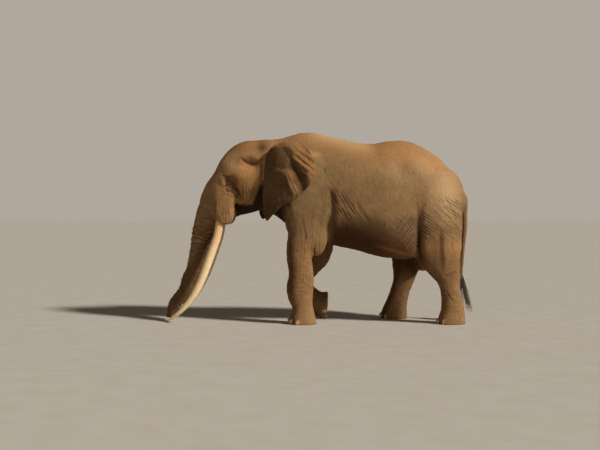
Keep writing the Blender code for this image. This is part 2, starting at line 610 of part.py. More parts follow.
def shaped(mesh, *modifiers):
    """The mesh after a list of (type, settings) modifiers."""
    ob = bpy.data.objects.new("shaping", mesh)
    bpy.context.scene.collection.objects.link(ob)
    for kind, settings in modifiers:
        m = ob.modifiers.new(kind, kind)
        for key, value in settings.items():
            setattr(m, key, value)
    out = evaluated(ob)
    bpy.data.objects.remove(ob)
    return out


def boolean(mesh, cutter_mesh, operation):
    cutter = bpy.data.objects.new("cutter", cutter_mesh)
    bpy.context.scene.collection.objects.link(cutter)
    out = shaped(
        mesh, ("BOOLEAN", {"operation": operation, "object": cutter, "solver": "EXACT"})
    )
    bpy.data.objects.remove(cutter)
    return out


def mesh_of(*shapes):
    bm = bmesh.new()
    for s in shapes:
        s.mesh(bm)
    mesh = bpy.data.meshes.new("shape")
    bmesh.ops.recalc_face_normals(bm, faces=bm.faces)
    bm.to_mesh(mesh)
    bm.free()
    return mesh


def islands(mesh):
    """The loose pieces of a mesh, each as a mesh, largest first."""
    co, tri, edge = mesh_arrays(mesh)
    group = np.arange(len(co))
    while True:
        low = np.minimum(group[edge[:, 0]], group[edge[:, 1]])
        new = group.copy()
        np.minimum.at(new, edge[:, 0], low)
        np.minimum.at(new, edge[:, 1], low)
        new = new[new]
        if (new == group).all():
            break
        group = new
    found = []
    for g, count in zip(*np.unique(group, return_counts=True)):
        bm = bmesh.new()
        bm.from_mesh(mesh)
        bm.verts.ensure_lookup_table()
        bmesh.ops.delete(bm, geom=[v for v in bm.verts if group[v.index] != g], context="VERTS")
        out = bpy.data.meshes.new("island")
        bm.to_mesh(out)
        bm.free()
        found.append((count, out))
    return [m for _, m in sorted(found, key=lambda x: -x[0])]


def half(mesh, point, normal):
    """What lies behind a plane, closed where the plane cuts it."""
    bm = bmesh.new()
    bm.from_mesh(mesh)
    bmesh.ops.bisect_plane(
        bm, geom=bm.verts[:] + bm.edges[:] + bm.faces[:], dist=1e-6,
        plane_co=Vector(point), plane_no=Vector(normal), clear_outer=True,
    )
    rim = [e for e in bm.edges if len(e.link_faces) == 1]
    if rim:
        made = bmesh.ops.holes_fill(bm, edges=rim, sides=0)["faces"]
        bmesh.ops.triangulate(bm, faces=made, ngon_method="EAR_CLIP")
    bmesh.ops.recalc_face_normals(bm, faces=bm.faces)
    out = bpy.data.meshes.new("half")
    bm.to_mesh(out)
    bm.free()
    return out


def parted(mesh, one, two):
    """Cuts a mesh along the line one-two of the side view, leaving a thin gap.
    Returns the piece to the left of the line's direction and the other."""
    along_cut = np.array([two[0] - one[0], 0.0, two[1] - one[1]])
    along_cut /= np.linalg.norm(along_cut)
    normal = np.cross(along_cut, [0.0, 1.0, 0.0])
    point = np.array([one[0], 0.0, one[1]])
    return (
        half(mesh, point - normal * CUT / 2, normal),
        half(mesh, point + normal * CUT / 2, -normal),
    )


def split_sides(mesh):
    """The left half and the right half of a mesh, with a thin gap between."""
    return (
        half(mesh, (0, -CUT / 2, 0), (0, 1, 0)),
        half(mesh, (0, CUT / 2, 0), (0, -1, 0)),
    )


def left_right(mesh):
    """Two loose pieces, the left one (-y) first."""
    two = islands(mesh)[:2]
    return sorted(two, key=lambda m: sum(v.co.y for v in m.vertices) / len(m.vertices))


def high_low(pieces):
    """Two pieces, the one that reaches higher first."""
    return sorted(pieces, key=lambda m: -max(v.co.z for v in m.vertices))


def box_mesh(low, high):
    bm = bmesh.new()
    size = [b - a for a, b in zip(low, high)]
    place = Matrix.Translation([(a + b) / 2 for a, b in zip(low, high)])
    bmesh.ops.create_cube(bm, size=1.0, matrix=place @ Matrix.Diagonal((*size, 1.0)))
    mesh = bpy.data.meshes.new("box")
    bm.to_mesh(mesh)
    bm.free()
    return mesh


def swollen(mesh, by):
    """The mesh with its surface moved outward by a hair."""
    out = mesh.copy()
    co, tri, _ = mesh_arrays(out)
    co += vertex_normals(co, tri) * by
    out.vertices.foreach_set("co", co.ravel())
    out.update()
    return out


def surface_point(x, z, side):
    """Where the skin lies at this place in the side view, on one side."""
    solids, hollows = body_shapes()
    y = side * np.linspace(0.15, 0.60, 451)
    p = np.column_stack([np.full(451, x), y, np.full(451, z)])
    inside = blend(solids, hollows, p) < 0
    return y[np.flatnonzero(inside)[-1]]


def make_flesh():
    solids, hollows = body_shapes()
    solids = solids + toe_masses()
    raw = shaped(mesh_of(*solids), ("REMESH", {"mode": "VOXEL", "voxel_size": SKIN_VOXEL, "adaptivity": 0.0}))
    skin = islands(raw)[0]
    settle(skin, lambda p: blend(solids, hollows, p), 7)
    ratio = BODY_TRIANGLES / (2 * len(skin.polygons))
    skin = shaped(skin, ("TRIANGULATE", {}), ("DECIMATE", {"ratio": ratio, "use_collapse_triangulate": True}))
    for v in skin.vertices:      # the soles rest on the floor at one level
        if v.co.z < FLOOR + 0.008:
            v.co.z = FLOOR
    return skin


def make_ear(side, flesh_cutter):
    columns, rows = 18, 8
    grid = ear_surface(side, columns, rows, 0.0)
    bm = bmesh.new()
    verts = [[bm.verts.new(Vector(p)) for p in line] for line in grid]
    for i in range(columns - 1):
        for j in range(rows - 1):
            quad = (verts[i][j], verts[i + 1][j], verts[i + 1][j + 1], verts[i][j + 1])
            bm.faces.new(quad if side < 0 else quad[::-1])
    mesh = bpy.data.meshes.new("ear")
    bm.to_mesh(mesh)
    bm.free()
    # thick at the root and thin at the rim: each side moves along the normal
    co, tri, _ = mesh_arrays(mesh)
    normal = vertex_normals(co, tri)
    s = np.tile(np.linspace(0, 1, rows), columns)
    thick = EAR_THICK_RIM + (EAR_THICK_ROOT - EAR_THICK_RIM) * (1 - s) ** 1.6
    outer, inner = co + normal * thick[:, None] / 2, co - normal * thick[:, None] / 2
    bm = bmesh.new()
    top = [bm.verts.new(Vector(p)) for p in outer]
    low = [bm.verts.new(Vector(p)) for p in inner]
    bm.faces.ensure_lookup_table()
    for f in mesh.polygons:
        bm.faces.new([top[v] for v in f.vertices])
        bm.faces.new([low[v] for v in reversed(f.vertices)])
    rim = (
        [i * rows for i in range(columns)]
        + [(columns - 1) * rows + j for j in range(1, rows)]
        + [i * rows + rows - 1 for i in range(columns - 2, -1, -1)]
        + [j for j in range(rows - 2, 0, -1)]
    )
    for a, b in zip(rim, rim[1:] + rim[:1]):
        bm.faces.new((top[a], top[b], low[b], low[a]))
    bmesh.ops.recalc_face_normals(bm, faces=bm.faces)
    out = bpy.data.meshes.new("ear")
    bm.to_mesh(out)
    bm.free()
    return islands(boolean(out, flesh_cutter, "DIFFERENCE"))[0]


def tapered(rows, side, sides, caps=(0.01, 0.01), step=0.09):
    """A closed tapered tube along a curve, as for a tusk or the tail."""
    limb = Limb(rows, side, 0.05, caps, step)
    bm = bmesh.new()
    limb.mesh(bm, sides)
    bmesh.ops.recalc_face_normals(bm, faces=bm.faces)
    mesh = bpy.data.meshes.new("tube")
    bm.to_mesh(mesh)
    bm.free()
    return mesh


def main():
    for ob in list(bpy.data.objects):
        bpy.data.objects.remove(ob)
    elephant = bpy.data.collections.new("elephant")
    bpy.context.scene.collection.children.link(elephant)

    hide = (0.33, 0.235, 0.165)
    dusty = (0.42, 0.27, 0.16)
    ivory = (0.80, 0.69, 0.50)

    flesh = make_flesh()
    over_flesh = swollen(flesh, 0.0006)

    nodes = {}
    # --- ears, tail and tuft end a hair short of what they grow from
    for side, word in ((-1, "left"), (1, "right")):
        nodes["ear_" + word] = (make_ear(side, over_flesh), dusty, 0.9)
    tail = tapered(TAIL, 0, 8, step=0.16)
    tail = islands(boolean(tail, over_flesh, "DIFFERENCE"))
    tail = min(tail, key=lambda m: min(v.co.z for v in m.vertices))
    tuft_cut = 0.60
    nodes["tail"] = (high_low(parted(tail, (2.0, tuft_cut), (3.5, tuft_cut)))[0], hide, 0.9)
    tuft = high_low(parted(tapered(TAIL_TUFT, 0, 8), (2.0, tuft_cut), (3.5, tuft_cut)))[1]
    nodes["tail_tuft"] = (tuft, (0.05, 0.04, 0.035), 0.8)

    # --- tusks in their sockets, eyes in theirs
    for side, word in ((-1, "left"), (1, "right")):
        tusk = tapered(TUSK, side, 11, step=0.15)
        nodes["tusk_" + word] = (tusk, ivory, 0.4)
        flesh = boolean(flesh, swollen(tusk, TUSK_SOCKET), "DIFFERENCE")
        y = surface_point(*EYE_AT, side) - side * 0.010
        for grow, keep in ((0.0006, False), (0.0, True)):
            bm = bmesh.new()
            bmesh.ops.create_icosphere(
                bm, subdivisions=2, radius=EYE_RADIUS + grow,
                matrix=Matrix.Translation((EYE_AT[0], y, EYE_AT[1])),
            )
            ball = bpy.data.meshes.new("ball")
            bm.to_mesh(ball)
            bm.free()
            if keep:
                nodes["eye_" + word] = (ball, (0.05, 0.03, 0.02), 0.1)
            else:
                flesh = boolean(flesh, ball, "DIFFERENCE")

    # --- the flesh parted with thin cuts
    fore, rest = parted(flesh, (-0.16, 3.5), (-0.42, 1.5))
    head, neck = parted(fore, (-0.46, 3.5), (-0.66, 1.6))
    head, trunk = high_low(parted(head, (-3.0, 1.665), (-1.0, 1.665)))
    jaw_low, jaw_high = (-1.122, -0.5, 1.5), (0.0, 0.5, 2.03)
    jaw = boolean(head, box_mesh(jaw_low, jaw_high), "INTERSECT")
    head = boolean(
        head,
        box_mesh([v - CUT for v in jaw_low], [v + CUT for v in jaw_high]),
        "DIFFERENCE",
    )
    trunk_upper, lower = high_low(parted(trunk, (-2.30, 1.075), (-1.30, 1.155)))
    nodes["head"] = (head, hide, 0.9)
    nodes["lower_jaw"] = (jaw, hide, 0.9)
    nodes["neck"] = (neck, hide, 0.9)
    nodes["trunk_upper"] = (trunk_upper, hide, 0.9)
    middle, low = high_low(parted(lower, (-2.29, 0.66), (-1.70, 0.30)))
    nodes["trunk_middle"] = (middle, hide, 0.9)
    nodes["trunk_lower"] = (low, hide, 0.9)

    front, rear = parted(rest, (0.80, 3.5), (0.80, -0.5))
    chest, legs = high_low(parted(front, (-0.60, 1.60), (0.90, 1.19)))
    nodes["chest"] = (chest, hide, 0.9)
    for word, leg in zip(("left", "right"), left_right(legs)):
        wrist = 0.74 if word == "left" else 0.645
        arm, below = high_low(parted(leg, (-2.0, wrist), (3.0, wrist)))
        nodes["forearm_" + word] = (arm, hide, 0.9)
        if word == "left":
            shin, foot = high_low(parted(below, (-2.0, 0.25), (3.0, 0.25)))
        else:
            shin, foot = sorted(
                parted(below, (0.34, 0.55), (0.13, 0.12)), key=lambda m: min(v.co.x for v in m.vertices)
            )
        nodes["wrist_" + word] = (shin, hide, 0.9)
        nodes["forefoot_" + word] = (foot, hide, 0.9)

    barrel, legs = high_low(parted(rear, (-1.0, 1.035), (4.0, 1.035)))
    belly, rump = parted(barrel, (2.02, 3.5), (2.02, -0.5))
    rump, thighs = high_low(parted(rump, (-1.0, 1.80), (4.0, 1.80)))
    nodes["belly"] = (belly, hide, 0.9)
    nodes["rump"] = (rump, hide, 0.9)
    for word, thigh in zip(("left", "right"), split_sides(thighs)):
        nodes["thigh_" + word] = (thigh, hide, 0.9)
    for word, leg in zip(("left", "right"), left_right(legs)):
        shank, foot = high_low(parted(leg, (-2.0, 0.25), (4.0, 0.25)))
        nodes["shank_" + word] = (shank, hide, 0.9)
        nodes["hindfoot_" + word] = (foot, hide, 0.9)

    for name, (mesh, colour, roughness) in nodes.items():
        mesh = islands(mesh)[0]
        mesh.transform(Matrix.Translation((BODY_X, 0.0, 0.0)))
        add_object(name, mesh, elephant, colour, roughness)
        mesh.shade_smooth()
        mesh.set_sharp_from_angle(angle=math.radians(50))
    for block in list(bpy.data.meshes):
        if not block.users:
            bpy.data.meshes.remove(block)


main()
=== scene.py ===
"""The looks of a bull African savanna elephant, life size, in mid stride.

The skin is the smooth blend of limbs and rounded masses that the CAD body is
made from, skinned finely, settled on that blend and then creased: folds at
named places, rings round the trunk and the wrists, a net of wrinkles whose
grain follows each part.  Ears, eyes, tusks, nails and hairs are separate
shapes.  Lengths are metres, the animal faces -X, its left side is to -Y.
"""
import itertools
import math

import bpy
import bmesh
import numpy as np
from mathutils import Matrix, Vector


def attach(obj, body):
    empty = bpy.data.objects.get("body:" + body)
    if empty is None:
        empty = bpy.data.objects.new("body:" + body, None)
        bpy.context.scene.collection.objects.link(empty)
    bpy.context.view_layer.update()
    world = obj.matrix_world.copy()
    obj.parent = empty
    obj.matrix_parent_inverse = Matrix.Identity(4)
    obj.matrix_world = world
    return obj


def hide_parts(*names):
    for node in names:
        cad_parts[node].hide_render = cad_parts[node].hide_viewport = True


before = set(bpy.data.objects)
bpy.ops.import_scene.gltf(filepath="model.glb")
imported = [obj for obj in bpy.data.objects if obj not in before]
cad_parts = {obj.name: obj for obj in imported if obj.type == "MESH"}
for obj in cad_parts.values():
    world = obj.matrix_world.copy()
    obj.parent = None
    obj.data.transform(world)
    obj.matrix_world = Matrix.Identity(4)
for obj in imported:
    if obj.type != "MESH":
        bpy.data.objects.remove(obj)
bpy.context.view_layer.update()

BODY_X = -0.3203            # moves the animal so that its box is centred on x = 0
FLOOR = 0.0
SKIN_VOXEL = 0.0155         # grain of the first skin
EYE_RADIUS = 0.021
EYE_AT = (-1.197, 2.414)    # x, z of the eye in the side view
EAR_THICK_ROOT = 0.050
EAR_THICK_RIM = 0.016

# ------------------------------------------------- limbs: rows of oval sections
# Each row: x, z of the section's centre, half depth in the side view,
# distance from the midplane, half width across, roundness exponent.

FORELEG_TOP = [
    (0.09, 2.78, 0.27, 0.33, 0.16, 2.1),     # shoulder blade
    (0.12, 2.35, 0.38, 0.385, 0.20, 2.1),
    (0.14, 1.98, 0.41, 0.405, 0.21, 2.2),    # point of the shoulder
]
FORELEG_STANDING = FORELEG_TOP + [
    (0.13, 1.72, 0.385, 0.415, 0.205, 2.2),
    (0.095, 1.50, 0.335, 0.42, 0.20, 2.2),   # elbow
    (0.015, 1.30, 0.250, 0.42, 0.195, 2.2),
    (-0.010, 1.12, 0.217, 0.42, 0.185, 2.2),
    (0.012, 0.92, 0.211, 0.42, 0.180, 2.2),
    (0.018, 0.78, 0.220, 0.42, 0.185, 2.2),
    (0.000, 0.60, 0.231, 0.415, 0.192, 2.2),  # wrist
    (0.010, 0.45, 0.216, 0.415, 0.182, 2.2),
    (0.036, 0.31, 0.180, 0.41, 0.176, 2.2),
    (0.048, 0.20, 0.193, 0.41, 0.196, 2.3),
    (0.045, 0.10, 0.222, 0.41, 0.222, 2.3),   # foot
    (0.045, 0.00, 0.240, 0.41, 0.238, 2.3),
]
FORELEG_LIFTED = FORELEG_TOP + [
    (0.19, 1.72, 0.385, 0.415, 0.205, 2.2),
    (0.275, 1.47, 0.31, 0.42, 0.20, 2.2),
    (0.365, 1.25, 0.225, 0.42, 0.19, 2.2),    # elbow
    (0.325, 1.07, 0.190, 0.42, 0.182, 2.2),
    (0.222, 0.944, 0.172, 0.42, 0.175, 2.2),
    (0.125, 0.831, 0.170, 0.42, 0.172, 2.2),
    (0.035, 0.725, 0.178, 0.42, 0.175, 2.2),
    (-0.020, 0.650, 0.188, 0.42, 0.180, 2.2),  # flexed wrist
]
FOREFOOT_LIFTED = [
    (-0.025, 0.645, 0.175, 0.42, 0.180, 2.2),
    (0.050, 0.540, 0.176, 0.42, 0.178, 2.2),
    (0.150, 0.430, 0.172, 0.415, 0.178, 2.2),
    (0.255, 0.335, 0.186, 0.41, 0.190, 2.2),
    (0.345, 0.275, 0.218, 0.41, 0.210, 2.2),
    (0.420, 0.245, 0.240, 0.41, 0.226, 2.3),
    (0.468, 0.240, 0.234, 0.41, 0.222, 2.3),   # sole, turned backward
]
HINDLEG_BACK = [
    (2.22, 2.48, 0.40, 0.25, 0.24, 2.1),      # hip
    (2.275, 2.10, 0.455, 0.30, 0.26, 2.1),
    (2.33, 1.75, 0.450, 0.34, 0.262, 2.2),    # thigh
    (2.364, 1.43, 0.404, 0.37, 0.245, 2.2),
    (2.402, 1.15, 0.368, 0.39, 0.222, 2.2),   # knee
    (2.474, 0.95, 0.288, 0.40, 0.198, 2.2),
    (2.534, 0.77, 0.212, 0.41, 0.174, 2.2),
    (2.560, 0.62, 0.174, 0.41, 0.158, 2.2),
    (2.583, 0.48, 0.173, 0.41, 0.156, 2.2),   # hock
    (2.602, 0.34, 0.186, 0.41, 0.162, 2.2),
    (2.612, 0.20, 0.206, 0.41, 0.174, 2.3),
    (2.600, 0.10, 0.228, 0.41, 0.188, 2.3),
    (2.588, 0.00, 0.245, 0.41, 0.194, 2.3),
]
HINDLEG_FORWARD = [
    (2.21, 2.48, 0.40, 0.25, 0.24, 2.1),
    (2.19, 2.10, 0.455, 0.30, 0.26, 2.1),
    (2.13, 1.75, 0.445, 0.34, 0.262, 2.2),
    (2.045, 1.43, 0.405, 0.37, 0.245, 2.2),
    (1.965, 1.15, 0.350, 0.39, 0.222, 2.2),
    (1.900, 0.95, 0.262, 0.40, 0.198, 2.2),
    (1.872, 0.79, 0.210, 0.41, 0.178, 2.2),
    (1.845, 0.66, 0.184, 0.41, 0.160, 2.2),
    (1.805, 0.54, 0.173, 0.41, 0.156, 2.2),
    (1.768, 0.42, 0.178, 0.41, 0.160, 2.2),
    (1.738, 0.30, 0.190, 0.41, 0.166, 2.2),
    (1.712, 0.20, 0.206, 0.41, 0.176, 2.3),
    (1.690, 0.10, 0.228, 0.41, 0.188, 2.3),
    (1.676, 0.00, 0.245, 0.41, 0.194, 2.3),
]
# The head from the nape to the root of the trunk: the section turns with it.
HEAD = [
    (-0.45, 2.545, 0.590, 0.0, 0.40, 2.1),
    (-0.74, 2.580, 0.570, 0.0, 0.40, 2.2),
    (-0.955, 2.560, 0.534, 0.0, 0.385, 2.3),  # crown
    (-1.100, 2.490, 0.445, 0.0, 0.360, 2.3),
    (-1.205, 2.408, 0.370, 0.0, 0.330, 2.3),  # forehead
    (-1.295, 2.328, 0.322, 0.0, 0.300, 2.3),
    (-1.378, 2.252, 0.298, 0.0, 0.270, 2.2),
    (-1.450, 2.170, 0.262, 0.0, 0.245, 2.2),
    (-1.520, 2.035, 0.230, 0.0, 0.225, 2.1),
]
TRUNK = [
    (-1.400, 2.270, 0.240, 0.0, 0.240, 2.2),
    (-1.515, 2.035, 0.230, 0.0, 0.222, 2.1),
    (-1.612, 1.830, 0.214, 0.0, 0.205, 2.1),
    (-1.660, 1.675, 0.203, 0.0, 0.193, 2.1),
    (-1.698, 1.455, 0.205, 0.0, 0.186, 2.1),
    (-1.735, 1.282, 0.186, 0.0, 0.175, 2.1),
    (-1.773, 1.120, 0.174, 0.0, 0.165, 2.1),
    (-1.815, 0.980, 0.162, 0.0, 0.154, 2.1),
    (-1.870, 0.830, 0.152, 0.0, 0.143, 2.1),
    (-1.933, 0.698, 0.144, 0.0, 0.132, 2.1),
    (-2.008, 0.508, 0.132, 0.0, 0.119, 2.1),
    (-2.096, 0.404, 0.122, 0.0, 0.108, 2.1),
    (-2.208, 0.285, 0.099, 0.0, 0.094, 2.1),
    (-2.264, 0.192, 0.068, 0.0, 0.080, 2.1),
    (-2.270, 0.100, 0.056, 0.0, 0.070, 2.1),
]
TUSK_SHEATH = [
    (-1.290, 2.380, 0.185, 0.182, 0.120, 2.2),
    (-1.305, 2.150, 0.190, 0.226, 0.132, 2.2),
    (-1.308, 1.980, 0.184, 0.262, 0.134, 2.2),
    (-1.308, 1.850, 0.176, 0.284, 0.126, 2.3),
    (-1.312, 1.775, 0.160, 0.290, 0.114, 2.3),
    (-1.318, 1.735, 0.136, 0.292, 0.100, 2.3),
]
LOWER_JAW = [
    (-0.700, 2.120, 0.170, 0.0, 0.255, 2.3),
    (-0.840, 2.055, 0.160, 0.0, 0.250, 2.3),
    (-0.980, 1.985, 0.128, 0.0, 0.205, 2.3),
    (-1.080, 1.935, 0.100, 0.0, 0.150, 2.2),
    (-1.165, 1.880, 0.080, 0.0, 0.095, 2.1),
    (-1.205, 1.850, 0.056, 0.0, 0.060, 2.0),
]
TAIL = [
    (2.630, 2.430, 0.105, 0.0, 0.110, 2.0),
    (2.775, 2.230, 0.092, 0.0, 0.090, 2.0),
    (2.848, 2.040, 0.068, 0.0, 0.066, 2.0),
    (2.872, 1.830, 0.054, 0.0, 0.052, 2.0),
    (2.870, 1.560, 0.046, 0.0, 0.044, 2.0),
    (2.847, 1.280, 0.039, 0.0, 0.037, 2.0),
    (2.830, 1.000, 0.033, 0.0, 0.031, 2.0),
    (2.820, 0.780, 0.028, 0.0, 0.027, 2.0),
    (2.828, 0.600, 0.024, 0.0, 0.024, 2.0),
]
TAIL_TUFT = [
    (2.828, 0.640, 0.030, 0.0, 0.030, 2.0),
    (2.834, 0.520, 0.044, 0.0, 0.032, 2.0),
    (2.848, 0.380, 0.054, 0.0, 0.034, 2.0),
    (2.880, 0.240, 0.050, 0.0, 0.032, 2.0),
    (2.925, 0.140, 0.036, 0.0, 0.026, 2.0),
    (2.955, 0.095, 0.018, 0.0, 0.016, 2.0),
]
TUSK = [
    (-1.360, 1.880, 0.066, 0.270, 0.066, 2.0),
    (-1.384, 1.700, 0.069, 0.288, 0.069, 2.0),
    (-1.423, 1.490, 0.070, 0.318, 0.070, 2.0),
    (-1.484, 1.300, 0.070, 0.342, 0.070, 2.0),
    (-1.541, 1.135, 0.069, 0.358, 0.069, 2.0),
    (-1.601, 0.965, 0.067, 0.368, 0.067, 2.0),
    (-1.663, 0.805, 0.064, 0.372, 0.064, 2.0),
    (-1.749, 0.620, 0.060, 0.370, 0.060, 2.0),
    (-1.835, 0.465, 0.055, 0.362, 0.055, 2.0),
    (-1.945, 0.320, 0.048, 0.348, 0.048, 2.0),
    (-2.065, 0.190, 0.038, 0.328, 0.038, 2.0),
    (-2.180, 0.098, 0.026, 0.306, 0.026, 2.0),
    (-2.255, 0.052, 0.012, 0.292, 0.012, 2.0),
]
# The trunk of the body from the neck to the rump.  Each row: x, height of the
# back, height of the underside, half width, height of the widest place,
# exponent of the back, exponent of the belly.
TORSO = [
    (-0.85, 3.08, 2.02, 0.283, 2.56, 2.1, 2.1),
    (-0.62, 3.14, 1.92, 0.350, 2.50, 2.1, 2.1),
    (-0.42, 3.165, 1.83, 0.397, 2.42, 2.0, 2.1),
    (-0.20, 3.225, 1.66, 0.449, 2.32, 1.9, 2.1),
    (0.00, 3.280, 1.52, 0.491, 2.22, 1.80, 2.2),
    (0.14, 3.285, 1.45, 0.520, 2.14, 1.80, 2.2),
    (0.38, 3.250, 1.375, 0.567, 2.04, 1.80, 2.3),
    (0.65, 3.182, 1.310, 0.619, 1.95, 1.9, 2.3),
    (0.95, 3.120, 1.245, 0.657, 1.90, 1.95, 2.3),
    (1.25, 3.085, 1.160, 0.671, 1.88, 1.95, 2.3),
    (1.50, 3.130, 1.105, 0.661, 1.90, 1.9, 2.3),
    (1.75, 3.150, 1.110, 0.624, 1.95, 1.80, 2.3),
    (2.00, 3.095, 1.150, 0.567, 2.02, 1.80, 2.3),
    (2.25, 2.955, 1.320, 0.501, 2.08, 1.9, 2.2),
    (2.48, 2.785, 1.500, 0.425, 2.10, 2.0, 2.2),
    (2.65, 2.570, 1.680, 0.340, 2.10, 2.0, 2.1),
    (2.785, 2.360, 1.840, 0.227, 2.09, 2.0, 2.0),
    (2.855, 2.200, 1.960, 0.123, 2.08, 2.0, 2.0),
]
# Rounded masses added to the limbs: name, centre x, distance from midplane,
# z, three half sizes (along, across, up), tilt in the side view in degrees,
# how softly it blends.
MASSES = [
    ("temple", -1.010, 0.275, 2.545, 0.250, 0.145, 0.165, 12, 0.10),
    ("brow", -1.235, 0.245, 2.500, 0.150, 0.105, 0.085, -28, 0.09),
    ("cheek", -0.925, 0.215, 2.255, 0.190, 0.165, 0.245, 8, 0.10),
    ("crown", -0.900, 0.145, 2.840, 0.270, 0.220, 0.262, 0, 0.10),
    ("elbow", 0.330, 0.410, 1.430, 0.130, 0.120, 0.275, 10, 0.07),
    ("shoulder_point", -0.100, 0.350, 2.020, 0.180, 0.190, 0.300, 0, 0.14),
    ("hip_bone", 1.950, 0.330, 2.640, 0.220, 0.170, 0.160, 0, 0.16),
    ("rump", 2.475, 0.200, 2.180, 0.328, 0.240, 0.440, 12, 0.14),
    ("flank", 1.780, 0.330, 1.420, 0.330, 0.280, 0.320, 0, 0.14),
    ("groin", 2.130, 0.180, 1.050, 0.150, 0.140, 0.165, 0, 0.09),
    ("finger_front", -2.316, 0.0, 0.088, 0.026, 0.030, 0.044, 0, 0.03),
    ("finger_rear", -2.232, 0.0, 0.082, 0.020, 0.034, 0.030, 0, 0.03),
]
# Hollows taken out of it, in the same terms.
HOLLOWS = [
    ("temple_hollow", -0.850, 0.455, 2.745, 0.160, 0.130, 0.078, 12, 0.09),
    ("eye_socket", -1.205, 0.425, 2.435, 0.115, 0.076, 0.090, -20, 0.06),
    ("below_cheek", -1.100, 0.370, 1.970, 0.060, 0.062, 0.075, 0, 0.08),
    ("thigh_front", 2.008, 0.640, 1.440, 0.056, 0.138, 0.500, 1, 0.09),
    ("behind_jaw", -0.700, 0.440, 2.200, 0.100, 0.100, 0.260, 12, 0.08),
    ("hunger_hollow", 1.850, 0.800, 2.330, 0.300, 0.190, 0.260, 0, 0.20),
    ("between_forelegs", 0.050, 0.000, 1.300, 0.260, 0.160, 0.200, 0, 0.10),
    ("nostril", -2.270, 0.028, 0.060, 0.018, 0.014, 0.055, 0, 0.012),
]


# ------------------------------------------------------------------ geometry
def smooth_rows(rows, step):
    """Rows read as a smooth curve through them, about `step` apart."""
    rows = np.asarray(rows, float)
    gaps = np.linalg.norm(np.diff(rows[:, :3], axis=0), axis=1)
    at = np.concatenate([[0.0], np.cumsum(gaps)])
    slope = np.empty_like(rows)
    rate = np.diff(rows, axis=0) / gaps[:, None]
    slope[0], slope[-1] = rate[0], rate[-1]
    w = gaps[1:, None], gaps[:-1, None]
    slope[1:-1] = (rate[:-1] * w[0] + rate[1:] * w[1]) / (w[0] + w[1])
    t = np.linspace(0.0, at[-1], max(int(at[-1] / step), 8) + 1)
    i = np.clip(np.searchsorted(at, t, side="right") - 1, 0, len(gaps) - 1)
    h = gaps[i][:, None]
    u = ((t - at[i]) / gaps[i])[:, None]
    return (
        (1 + 2 * u) * (1 - u) ** 2 * rows[i]
        + u * (1 - u) ** 2 * h * slope[i]
        + u * u * (3 - 2 * u) * rows[i + 1]
        + u * u * (u - 1) * h * slope[i + 1]
    )


